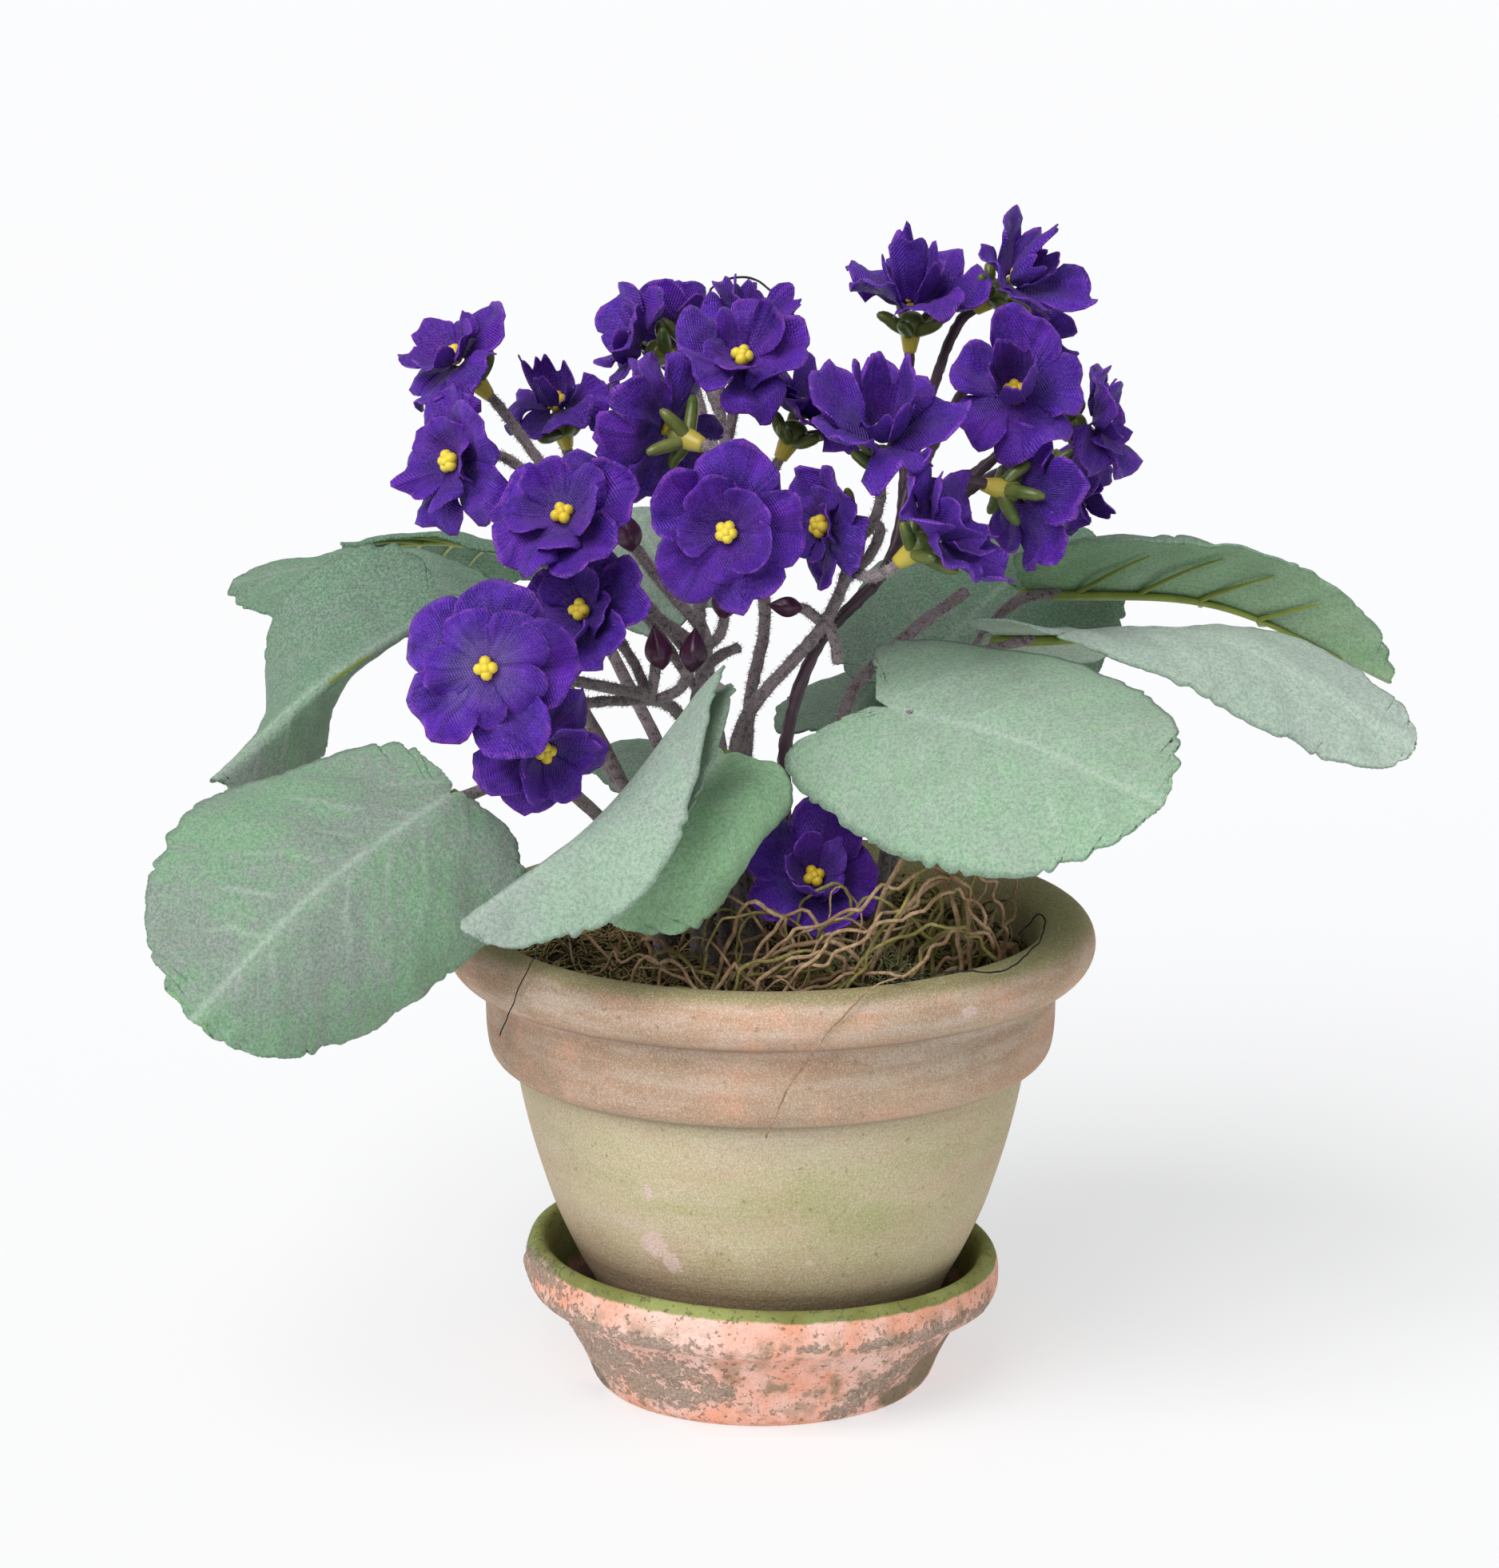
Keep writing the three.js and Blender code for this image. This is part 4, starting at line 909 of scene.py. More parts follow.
def make_soil():
    inward = [(48 * (1 - ring / SOIL_RINGS), 80) for ring in range(1, SOIL_RINGS)]
    rings, _ = turn_profile([*SOIL_SIDE, *inward], 72, 0)
    points, faces = skin(rings, first=(0, 0, 40), last=(0, 0, 80))
    lift = lumps(points, 0.22) * 1.6 + lumps(points, 0.6) * 0.8
    points[:, 2] += np.where(points[:, 2] > 79.5, lift, 0)
    single("potting_mix", (points, faces), SOIL, "soil", "soil")


make_soil()
print("potting mix filled in")

# %% [markdown]
# Moss strands, the tufted clump and the flock on the stems are the same thing at different sizes: short
# fibres that grow from a surface, each with its own turn, size and wobble. Geometry nodes scatter them:
# points on a bed, a bent line on each point, noise on the lines, and a three-sided tube along each line.
# The result is made into a plain mesh, so that it is part of the model like every other piece.

# %% Fibres
FIBRE_INPUTS = {
    "Bed": "Geometry", "Density": "Float", "Steps": "Int", "Start": "Vector", "Middle": "Vector",
    "End": "Vector", "Tilt": "Float", "Smallest": "Float", "Wobble": "Float", "Waves": "Float",
    "Thickness": "Float", "Seed": "Int", "Material": "Material",
}  # fmt: skip
FIBRE_SIDES = 3
FIBRE_TAPER = -0.6  # what is added to a fibre's thickness, which starts at 1, on the way to its tip


def make_fibre_tree():
    tree = bpy.data.node_groups.new("fibres", "GeometryNodeTree")
    for word, kind in FIBRE_INPUTS.items():
        tree.interface.new_socket(name=word, in_out="INPUT", socket_type="NodeSocket" + kind)
    tree.interface.new_socket(name="Fibres", in_out="OUTPUT", socket_type="NodeSocketGeometry")
    bench = Bench(tree)
    given = tree.nodes.new("NodeGroupInput").outputs
    result = tree.nodes.new("NodeGroupOutput").inputs

    def step(kind, out=0, takes=(), **words):
        """Adds a node, feeds the inputs in takes by number, and gives one of its outputs."""
        node = bench.add(kind, **words)
        for number, value in dict(takes).items():
            bench.feed(node.inputs[number], value)
        return node.outputs[out]

    words = {"Mesh": given["Bed"], "Density": given["Density"], "Seed": given["Seed"]}
    spot = step("GeometryNodeDistributePointsOnFaces", "Points", **words)
    words = {word: given[word] for word in ("Start", "Middle", "End")}
    line = step("GeometryNodeCurveQuadraticBezier", "Curve", Resolution=given["Steps"], **words)
    tilt = step("ShaderNodeCombineXYZ", X=given["Tilt"], Y=given["Tilt"], Z=math.pi)
    back_tilt = step("ShaderNodeVectorMath", operation="SCALE", Vector=tilt, Scale=-1.0)
    words = {"data_type": "FLOAT_VECTOR", "Seed": given["Seed"]}
    lean = step("FunctionNodeRandomValue", takes={0: back_tilt, 1: tilt}, **words)
    words = {"Rotation": spot.node.outputs["Rotation"], "Rotate_By": lean}
    turn = step("FunctionNodeRotateRotation", rotation_space="LOCAL", **words)
    words = {"data_type": "FLOAT", "Seed": bench.math("ADD", given["Seed"], 7.0)}
    size = step("FunctionNodeRandomValue", 1, {2: given["Smallest"], 3: 1.0}, **words)
    grown = step("GeometryNodeInstanceOnPoints", Points=spot, Instance=line, Rotation=turn, Scale=size)
    grown = step("GeometryNodeRealizeInstances", Geometry=grown)
    bend = step("ShaderNodeTexNoise", "Color", Scale=given["Waves"], Detail=1.0)
    bend = step("ShaderNodeVectorMath", takes={0: bend, 1: (0.5, 0.5, 0.5)}, operation="SUBTRACT")
    bend = step("ShaderNodeVectorMath", operation="SCALE", Vector=bend, Scale=given["Wobble"])
    grown = step("GeometryNodeSetPosition", Geometry=grown, Offset=bend)
    ring = step("GeometryNodeCurvePrimitiveCircle", Resolution=FIBRE_SIDES, Radius=given["Thickness"])
    taper = bench.math("MULTIPLY_ADD", step("GeometryNodeSplineParameter", "Factor"), FIBRE_TAPER, 1.0)
    grown = step("GeometryNodeCurveToMesh", Curve=grown, Profile_Curve=ring, Scale=taper)
    grown = step("GeometryNodeRealizeInstances", Geometry=grown)
    grown = step("GeometryNodeSetMaterial", Geometry=grown, Material=given["Material"])
    bench.feed(result["Fibres"], grown)
    return tree


FIBRES = make_fibre_tree()


def grow(name, bed, material, node, slot, **values):
    """Fibres on a bed, a mesh in metres, as a plain piece. Lengths in values are in metres too."""
    soil = in_scene("bed", bed)
    growing = soil.modifiers.new("fibres", "NODES")
    growing.node_group = FIBRES
    values["Material"] = material
    for socket in FIBRES.interface.items_tree:
        if socket.in_out == "INPUT" and socket.name in values:
            growing[socket.identifier] = values[socket.name]
    mesh = bpy.data.meshes.new_from_object(soil.evaluated_get(bpy.context.evaluated_depsgraph_get()))
    soil.modifiers.remove(growing)
    bpy.data.objects.remove(soil)
    mesh.name = name
    mesh.materials.clear()
    mesh.materials.append(material)
    return settle(in_scene(name, mesh), node)


print("fibre tree of", len(FIBRES.nodes), "nodes")

# %% [markdown]
# The moss is a loose ring of dried strands round the stems, brown on top, olive and almost black below,
# with a paler tufted clump in front. Real moss is a heap of thousands of strands. A bumpy bed keeps the
# heap closed underneath; it is almost black, as painted shade between the strands, and so is the heart of
# the clump. Three crops of strands in three tones lie over the bed, flat but not straight.

# %% Moss
MOSS_STRANDS = {
    "Steps": 8, "Start": (-0.008, 0, 0), "Middle": (0, 0.003, 0.006), "End": (0.008, 0, 0.0005),
    "Tilt": 0.35, "Smallest": 0.45, "Wobble": 0.007, "Waves": 160.0, "Thickness": 0.00032,
}  # fmt: skip
TUFT_FIBRES = {
    "Density": 0.9e6, "Steps": 5, "Start": (0, 0, -0.001), "Middle": (0.0015, 0, 0.0015),
    "End": (-0.0005, 0, 0.0042), "Tilt": 0.9, "Smallest": 0.5, "Wobble": 0.0045, "Waves": 420.0,
    "Thickness": 0.00028, "Seed": 11,
}  # fmt: skip
MOSS_CROPS = [
    ("moss_dark", MOSS_DARK, 0.05), ("moss_olive", MOSS_OLIVE, 0.10), ("moss_brown", MOSS_BROWN, 0.12),
]  # fmt: skip
MOSS_BED = [
    (48.3, 80.2), (47.5, 82.5), (43, 85.5), (38, 87), (33, 86.5), (27, 85), (21, 84), (14, 83), (8, 81.5),
    (4, 80.2),
]  # fmt: skip
CLUMP_PLACE = (17, -36, 89.5)
CLUMP_SHAPE = (1.45, 0.95, 0.75)


def ball(radius, rows, sides, pole=0.0, squash=1.0):
    """A closed ball, turned like a pot. pole is how far from its poles the first ring lies, in radians."""
    turn = np.linspace(pole, math.pi - pole, rows)
    tip = radius * squash
    rings, _ = turn_profile(np.stack([radius * np.sin(turn), -tip * np.cos(turn)], 1), sides, 0)
    return skin(rings, first=(0, 0, -tip), last=(0, 0, tip))


def make_moss():
    points, faces = skin(turn_profile(MOSS_BED, 90, 0)[0], loop=True)
    lift = lumps(points, 0.11) * 3.2 + lumps(points, 0.35) * 1.8
    points[:, 2] += np.where(points[:, 2] > 81, lift, 0)
    # the bed takes the darkest moss tone: painted shade where it shows between the strands
    bed = single("moss_bed", (points, faces), MOSS_DARK, "moss", "moss").data
    for seed, (name, material, share) in enumerate(MOSS_CROPS):
        grow(name, bed, material, "moss", "moss", Density=share * 1e6, Seed=seed + 3, **MOSS_STRANDS)
    points, faces = ball(6, 9, 14, 0.15)
    # the clump's dark heart is painted shade under its tufts
    clump = single("clump_heart", (points * CLUMP_SHAPE + CLUMP_PLACE, faces), MOSS_DARK, "moss", "moss")
    grow("clump_tufts", clump.data, LICHEN_GREEN, "moss", "moss", **TUFT_FIBRES)


make_moss()
print("moss grown")

# %% [markdown]
# Roots loop up out of the moss, a few of them tall enough to lie across the lowest bloom, and bits of bark
# lie between them. Each root is a thin uneven tube along a smooth line. The bark is torn, so each bit is a
# small block with its corners pulled about.

# %% Roots
TALL_ROOTS = [
    [(20, -30, 84), (20, -37, 104), (27, -38, 116), (34, -34, 104), (36, -30, 84)],
    [(16, -38, 84), (24, -40, 104), (34, -37, 110), (38, -28, 84)],
    [(-8, -37, 84), (-2, -41, 95), (12, -43, 99), (24, -38, 84)],
    [(-6, -40, 84), (0, -44, 98), (14, -47, 106), (30, -42, 112), (40, -34, 100), (42, -28, 84)],
    [(-10, -40, 85), (2, -46, 93), (16, -49, 100), (30, -45, 109), (39, -36, 104), (44, -26, 86)],
    [(6, -44, 84), (20, -47, 99), (34, -42, 102), (44, -28, 88)],
    [(-2, -44, 85), (8, -48, 97), (22, -46, 106), (36, -38, 112), (45, -24, 98), (44, -16, 84)],
    [(10, -45, 85), (24, -45, 108), (32, -40, 118), (38, -30, 108), (38, -24, 84)],
    [(0, -42, 85), (10, -45, 92), (24, -46, 95), (38, -38, 99), (46, -20, 86)],
]
THICK_ROOTS = 3  # the first ones of the list are the thick pale roots
ROOT_LOOPS = 60  # low loops all round
NEST_ROOTS = 52  # higher ones, in a nest in front of the lowest bloom
NEST_TURN = math.radians(-74)


def loop_of(number, draw):
    """A root that leaves the moss, runs round the pot's axis for a way, and goes down again."""
    nest = number >= ROOT_LOOPS
    turn = 2 * math.pi * (number + draw.random() * 0.8) / ROOT_LOOPS
    start = NEST_TURN + (draw.random() - 0.5) * 1.9 if nest else turn
    sweep = (0.25 + draw.random() * 0.7) * draw.choice((-1, 1))
    far = 36 + draw.random() * 10 if nest else 24 + draw.random() * 22
    high = 86 + draw.random() * (22 if nest else 10)
    angles = start + sweep * np.array([0, 0.3, 0.7, 1])
    radii = far + np.array([0, 3, 2, -3]) * draw.random(4)
    heights = (82, high - 2 * draw.random(), high, 81)
    return np.stack([radii * np.cos(angles), radii * np.sin(angles), heights], 1)


def make_roots():
    draw = np.random.default_rng(58)
    stock = Stock()
    for number, line in enumerate(TALL_ROOTS):
        way = smooth_line(line, 1.2)
        sway, thick = (0.5, 0.5) if number < THICK_ROOTS else (2.6, 0.36)
        way += drift(way + (number * 4, 0, 0), 0.2) * sway
        stock.add(*tube(way, thick, 7, 0.5, number), slot=int(number > THICK_ROOTS and number % 2))
    for number in range(ROOT_LOOPS + NEST_ROOTS):
        way = smooth_line(loop_of(number, draw), 1.3)
        way += drift(way, 0.17, (number, 0, 0)) * 3.2
        thick = 0.2 + 0.28 * draw.random()
        stock.add(*tube(way, thick, 5, 0.5, number), slot=int(draw.random() < 0.4))
    stock.piece("root_strands", [ROOT, MOSS_OLIVE], "moss", "moss")


make_roots()
print("roots laid")

# %% Bark
BARK_BITS = 34
BARK_SIZE = np.array([1.6, 1.0, 0.5])


def turned(axis, angle):
    return np.array(Matrix.Rotation(angle, 3, axis))


def make_bark():
    draw = np.random.default_rng(12)
    stock = Stock()
    block = np.array([(x, y, z) for z in (-1, 1) for y in (-1, 1) for x in (-1, 1)], float)
    faces = [(0, 2, 3, 1), (4, 5, 7, 6), (0, 1, 5, 4), (2, 6, 7, 3), (0, 4, 6, 2), (1, 3, 7, 5)]
    for _ in range(BARK_BITS):
        size = BARK_SIZE * (0.6 + 1.1 * draw.random())
        bit = block * size + (draw.random((8, 3)) - 0.5) * size * 0.7
        angle, far, lean = draw.random() * 2 * math.pi, 14 + draw.random() * 32, draw.random() * 1.4
        place = (far * math.cos(angle), far * math.sin(angle), 86 + 3.5 * draw.random())
        stock.add(bit @ turned("X", lean).T @ turned("Z", angle * 3).T + place, faces)
    made = stock.piece("bark_bits", [BARK], "moss", "moss")
    made.data.polygons.foreach_set("use_smooth", [False] * len(made.data.polygons))


make_bark()
print("bark strewn")

# %% [markdown]
# A leaf is a flat punched shape, bent along its length and folded or curled across its midrib. Cloth
# simulation would give chance folds, but these leaves have to keep the bend they have in the photograph.
# So each leaf has a midrib line and two fold angles, and a grid of points is laid off from that line, one
# half at a time. The scallops of the edge are small and uneven, and the felt puffs up between the veins.

# %% Leaf shapes
LEAVES = {
    # base, tip, bend, width, face at base, face at tip, fold, curl, wave,
    # tones (fresh green and painted light, hoar, painted shade on the right and the left half), foot, stalk
    "front_left": (
        (-59, -44, 128), (-104, -80, 95), 6, 66, (0.2, -0.5, 0.84), (0.2, -0.85, 0.4),
        (0.2, 0.3), (0.4, 0.9), 1.6, (0.0, 0.0, 0.0, 0.0), (-20, -12), [(-24, -15, 104), (-42, -26, 126)],
    ),
    "front_folded": (
        (-14.3, -36, 144), (-55.7, -74, 110.6), -3, 36, (-0.85, 0, 0.5), (0.3, -0.8, 0.5),
        (2.8, 0.1), (0.0, 0.2), 1, (0.0, 0.55, 0.2, 0.0), (-11, -20), [(-13, -14, 108), (-14, -12, 138)],
    ),
    "front_centre": (
        (-8.6, -26, 131), (-29.4, -48, 104.2), 7, 48, (0.2, -0.4, 0.85), (0, -0.85, 0.5),
        (1.0, -0.3), (0.2, 2.0), 1.8, (1.0, 0.18, 0.0, 0.0), (-3, -21), [(-6, -17, 104), (-6, -17, 122)],
    ),
    "front_right": (
        (22, -26, 140), (70.5, -61, 130), 4, 61, (0.1, -0.7, 0.72), (0.25, -0.75, 0.6),
        (0.05, 0.1), (0.5, 0.5), 1.4, (0.35, 0.3, 0.0, 0.0), (9, -17), [(10, -17, 108), (14, -18, 132)],
    ),
    "right_twisted": (
        (44, -2, 149), (121, -16, 129), 10, 40, (0.1, 0.2, 1), (0.3, -0.95, 0.4),
        (-0.2, 0.5), (0.2, 0.2), 1.4, (0.1, 0.9, 0.0, 0.0), (20, -8), [(22, -6, 106), (32, -1, 134)],
    ),
    "right_upper": (
        (50, 20, 153), (121, 22, 134), 8, 46, (0, 0.7, 0.7), (0.2, 0.7, 0.6),
        (0, -1.2), (0.2, 0.1), 1.2, (0.2, 0.1, 0.0, 0.3), (21, 2), [(24, 4, 106), (36, 12, 136)],
    ),
    "back_right": (
        (26, 30, 130), (62, 66, 156), 6, 54, (0.1, -0.75, 0.65), (0.1, -0.3, 0.95),
        (0.1, 0.1), (0.4, 0.5), 1.6, (0.0, 0.0, 0.55, 0.55), (14, 13), [(15, 14, 100), (19, 20, 118)],
    ),
    "back": (
        (14, 34, 122), (34, 84, 122), 6, 42, (0, -0.15, 1), (0, 0.5, 0.85),
        (0.1, 0.1), (0.4, 0.4), 1.6, (0.0, 0.0, 0.5, 0.5), (7, 19), [(7, 21, 98), (10, 27, 112)],
    ),
    "back_middle": (
        (-12, 34, 110), (-26, 80, 100), 8, 40, (0, 0.1, 1), (0, 0.6, 0.8),
        (0.1, 0.1), (0.4, 0.4), 1.6, (0.0, 0.1, 0.3, 0.3), (-2, 21), [(-2, 23, 92), (-6, 30, 102)],
    ),
    "back_left": (
        (-44, 56, 152), (-86, 72, 150), 3, 34, (0, 0.42, 0.9), (0, 0.42, 0.9),
        (0.15, 0.15), (0.3, 0.3), 1, (0.15, 0.0, 1.0, 1.0), (-14, 16), [(-15, 18, 104), (-27, 36, 128)],
    ),
    "left_folded": (
        (-63, -2, 154), (-105, -26, 126), 5, 50, (-0.1, -0.8, 0.6), (-0.7, 0.4, 0.6),
        (-0.1, 2.4), (0.1, 0.2), 1.4, (0.0, 0.1, 0.72, 0.0), (-21, -1), [(-24, -2, 108), (-42, -2, 142)],
    ),
    "left_far": (
        (-60, 28, 150), (-106, 38, 150), 5, 44, (-0.1, -0.2, 1), (-0.2, -0.1, 1),
        (0.1, 0.1), (0.3, 0.3), 1.4, (0.0, 0.0, 0.6, 0.6), (-19, 8), [(-22, 9, 104), (-42, 15, 132)],
    ),
    "back_small": (
        (-15, 42, 144), (-30, 70, 158), 3, 32, (-0.1, -0.7, 0.7), (-0.1, -0.3, 0.95),
        (0.1, 0.1), (0.3, 0.3), 1, (0.0, 0.4, 0.1, 0.1), (-8, 17), [(-8, 19, 108), (-12, 28, 134)],
    ),
}  # fmt: skip
LEAF_ROWS = 210
LEAF_COLUMNS = 12  # on each side of the midrib
MIDRIB_POINTS = 160
FOLD_STEPS = 16
FOLD_REACH = 2.6  # how far from the midrib the fold is still rounding, in millimetres
SCALLOP_PITCH = 7.2
SCALLOP_DEPTH = 0.044
LEAF_WALL = 0.55
QUILT_RISE = 0.16  # how far the felt puffs up between two veins
TROUGH_DEPTH = 0.55  # of the groove along the midrib
FELT_WAVES = ((0.35, 23.0), (0.22, 12.5), (0.13, 7.1), (0.06, 4.3))  # height and length of each
LOBES = {"front_right": 0.3}  # how far a leaf's base lobes reach back, where it isn't BASE_LOBE
BASE_LOBE = 0.13
STEM_FOOT = 70


class Leaf:
    """The bent surface of one leaf. place() gives points and upward directions for flat positions."""

    def __init__(self, lobe, base, tip, bend, width, face0, face1, fold, curl, wave):
        base, tip, face0, face1 = (np.array(value, float) for value in (base, tip, face0, face1))
        self.length = np.linalg.norm(tip - base)
        chord = (tip - base) / self.length
        middle = (base + tip) / 2 + unit(face0 - chord * np.dot(face0, chord)) * bend
        self.line = smooth_line([base, middle, tip], count=MIDRIB_POINTS)
        self.shares = np.linspace(0, 1, MIDRIB_POINTS)
        self.tangents = unit(np.gradient(self.line, axis=0))
        self.faces = (face0, face1)
        self.width, self.fold, self.curl, self.wave, self.lobe = width, fold, curl, wave, lobe

    def along_line(self, table, share):
        return np.stack([np.interp(share, self.shares, table[:, axis]) for axis in range(3)], -1)

    def place(self, along, across):
        along, across = np.broadcast_arrays(np.asarray(along, float), np.asarray(across, float))
        share = np.clip(along / self.length, 0, 1)
        tangent = unit(self.along_line(self.tangents, share))
        point = self.along_line(self.line, share) + tangent * (along - share * self.length)[..., None]
        face = self.faces[0] * (1 - share)[..., None] + self.faces[1] * share[..., None]
        face = unit(face - tangent * (face * tangent).sum(-1, keepdims=True))
        half = across < 0
        side = np.cross(tangent, face) * np.where(half, -1, 1)[..., None]
        reach = np.abs(across)
        stride = (reach / FOLD_STEPS)[..., None]
        fold, curl = (np.where(half, pair[1], pair[0]) for pair in (self.fold, self.curl))
        for step in range(FOLD_STEPS):
            part = (step + 0.5) / FOLD_STEPS * reach
            angle = fold * np.minimum(1, part / FOLD_REACH) + curl * (part / (self.width / 2)) ** 2 * 1.5
            point = point + (side * np.cos(angle)[..., None] - face * np.sin(angle)[..., None]) * stride
        up = face * np.cos(angle)[..., None] + side * np.sin(angle)[..., None]
        edge = (2 * reach / self.width) ** 2
        ripple = self.wave * edge * np.sin(7 * share + np.where(half, 2.1, 0) + self.width)
        return point + face * ripple[..., None], up

    def outline(self, turn, seed):
        lobe = self.lobe * np.exp(-((turn / 0.42 - 1.3) ** 2))
        along = self.length * ((1 - np.cos(turn)) / 2 - lobe)
        across = self.width / 2 * np.sin(turn) * (1 + 0.12 * np.cos(turn))
        way = np.concatenate([[0], np.cumsum(np.hypot(np.diff(along), np.diff(across)))])
        bumps = way / SCALLOP_PITCH + 0.35 * np.sin(way * 0.31 + seed) + 0.2 * np.sin(way * 0.77 + 2 * seed)
        notch = 1 - np.abs(np.sin(math.pi * bumps)) ** 0.95
        depth = SCALLOP_DEPTH * (0.75 + 0.5 * np.sin(way * 0.23 + 3 * seed))
        shrink = 1 - depth * notch - 0.004 * np.sin(way * 2.9 + seed) ** 2
        centre = 0.48 * self.length
        return centre + (along - centre) * shrink, across * shrink


# %% Blade
def crinkle(along, across, seed):
    """Slow unevenness of felt, in millimetres, made of a few sines at odd angles."""
    value = 0
    for number, (size, wave_length) in enumerate(FELT_WAVES):
        angle = seed * 1.7 + number * 2.2
        run = along * math.cos(angle) + across * math.sin(angle)
        other = along * math.sin(angle + 0.6) - across * math.cos(angle + 0.6)
        wave = size * np.sin(run * 2 * math.pi / wave_length + seed)
        value = value + wave * np.sin(other * 5.1 / wave_length)
    return value


def make_blade(name, leaf, tones, seed):
    turn = np.linspace(0.03, math.pi - 0.03, LEAF_ROWS)
    spine = leaf.length * (1 - np.cos(turn)) / 2
    share = np.linspace(0, 1, LEAF_COLUMNS + 1) ** 0.9
    halves = []
    for sign in (-1, 1):
        out_along, out_across = leaf.outline(turn, seed + sign * 1.3)
        out_along = spine[:, None] + (out_along - spine)[:, None] * share
        halves.append((out_along, sign * out_across[:, None] * share))
    along, across = (np.hstack([left[:, :0:-1], right]) for left, right in zip(*halves))
    edge = np.broadcast_to(np.hstack([share[:0:-1], share]), along.shape)
    points, up = leaf.place(along, across)
    aside = np.abs(across)
    forward = (along / 10 - VEIN_SWEEP * aside / 10) / VEIN_SPACING
    quilt = np.cos(2 * math.pi * forward) * np.clip(aside / 6, 0, 1) * (1 - edge**3)
    trough = -TROUGH_DEPTH * np.exp(-((across / 1.3) ** 2))
    relief = QUILT_RISE * quilt + trough + crinkle(along, across, seed) * np.clip(aside / 5, 0.2, 1)
    points = points + up * relief[..., None]
    fresh, hoar, dusk_right, dusk_left = tones
    # painted shade, set for the right and the left half, blended across the midrib
    dusk = dusk_right + (dusk_left - dusk_right) * np.clip(0.5 - across / 3, 0, 1)
    stock = Stock("margin", "fresh", "hoar", "dusk")
    flat_at = np.stack([along, across], -1).reshape(-1, 2) / 10
    faces = grid(*along.shape)
    stock.add(points, faces, flat=flat_at, margin=edge, fresh=fresh, hoar=hoar, dusk=dusk)
    stock.piece("blade_" + name, [LEAF_TOP, LEAF_UNDER], "leaf_" + name, "leaf_fabric", wall=LEAF_WALL)


# %% Stalk and ribs
def add_rib(stock, leaf, along, across, depth, radius, sides):
    """A tapering rib on the back of a blade. depth and radius are pairs, at its start and at its end."""
    point, up = leaf.place(along, across)
    count = len(along)
    line = point - up * np.linspace(*depth, count)[:, None]
    stock.add(*tube(line, np.linspace(*radius, count), sides), slot=1)


def make_stalk(name, leaf, foot, stalk):
    stock = Stock()
    ends = leaf.place(np.array([-3.0, 6.0]), 0.0)[0] - unit(leaf.faces[0]) * np.array([[4.0], [1.3]])
    route = smooth_line([(*foot, STEM_FOOT), (*foot, 83), *stalk, *ends], 1.6)
    way = np.linspace(0, 1, len(route))
    route = route + drift(route, 0.12) * 0.4 * way[:, None] * (1 - way[:, None])
    stock.add(*tube(route, 1.5 * (1 - 0.25 * way), 10, 0.12))
    add_rib(stock, leaf, np.linspace(-2, 0.86 * leaf.length, 26), 0.0, (1.9, 1.15), (1.1, 0.35), 8)
    for start in np.linspace(0.12, 0.62, 4):
        across = np.linspace(0, leaf.width * (0.37 - 0.3 * abs(start - 0.3)), 12)
        run = start * leaf.length + VEIN_SWEEP * across
        for sign in (-1, 1):
            add_rib(stock, leaf, run, sign * across, (1.35, 0.85), (0.6, 0.2), 6)
    stock.piece("stalk_" + name, [FLOCK, RIB_GREEN], "leaf_" + name, "stem_plastic")


for number, (name, given) in enumerate(LEAVES.items()):
    *shape, tones, foot, stalk = given
    leaf = Leaf(LOBES.get(name, BASE_LOBE), *shape)
    make_blade(name, leaf, tones, number * 0.83)
    make_stalk(name, leaf, foot, stalk)
print(len(LEAVES), "leaves made")

# %% [markdown]
# A bloom is two five-lobed discs of cloth on a pin, the upper one smaller and more cupped, turned by half
# a lobe. Each lobe is cupped, tilted like the blades of a fan, and has its own lift, as when a hand has
# opened it. Every lobe is a grid laid from the middle to its rounded edge, and cloth thickness is added
# by a modifier. Where a bloom stands, and which way it looks, is measured from the photograph.

# %% Bloom places
BLOOMS = [
    # at, turn, rise, radius, spray, where its stem leaves the trunk
    ((-51, -60, 155), -8, 12, 16.5, "left", 0.97), ((-42, -50, 138), 25, -12, 14, "left", 0.93),
    ((-34.5, -28, 158), -30, 30, 13.5, "left", 0.95), ((-38, -26, 175.5), -18, 42, 16, "centre", 0.76),
    ((-59, -8, 183), -42, 5, 15, "centre", 0.72), ((-59, 8, 199), -60, 48, 13.5, "centre", 0.66),
    ((-41, 24, 187), -20, 60, 12.5, "centre", 0.8), ((-19.5, 2, 187), -130, 12, 15.5, "centre", 0.92),
    ((-25, 34, 198), -80, 28, 12, "back", 0.9), ((-15, 44, 199), 180, 35, 11.5, "back", 0.94),
    ((-5.5, -4, 201), 8, 48, 13.5, "centre", 0.97), ((-4, 25, 203), 60, 60, 12, "back", 0.98),
    ((-8, -34, 174.5), -6, 14, 15.5, "centre", 0.84), ((10.5, -20, 173), -50, 8, 12.5, "flocked", 0.9),
    ((20.5, -26, 190), 5, 70, 16, "flocked", 0.98), ((6, 10, 188), 70, 62, 13, "back", 0.84),
    ((30, -36, 174.5), 72, 38, 15, "flocked", 0.94), ((27, 18, 208), 10, 78, 15, "right", 0.95),
    ((46, 22, 212), 66, 38, 12.5, "right", 0.98), ((45.5, -10, 195.5), -6, 42, 15, "right", 0.92),
    ((47, -14, 178), 122, -16, 14.5, "right", 0.82), ((61, 4, 188), 76, 14, 12.5, "right", 0.9),
    ((50.5, 36, 197), 120, 20, 12.5, "right", 0.94), ((58, 20, 174), 100, -10, 12, "right", 0.86),
    ((8, -28, 107), 4, 34, 14, "right", 0.2),
]  # fmt: skip
PETALS = 5
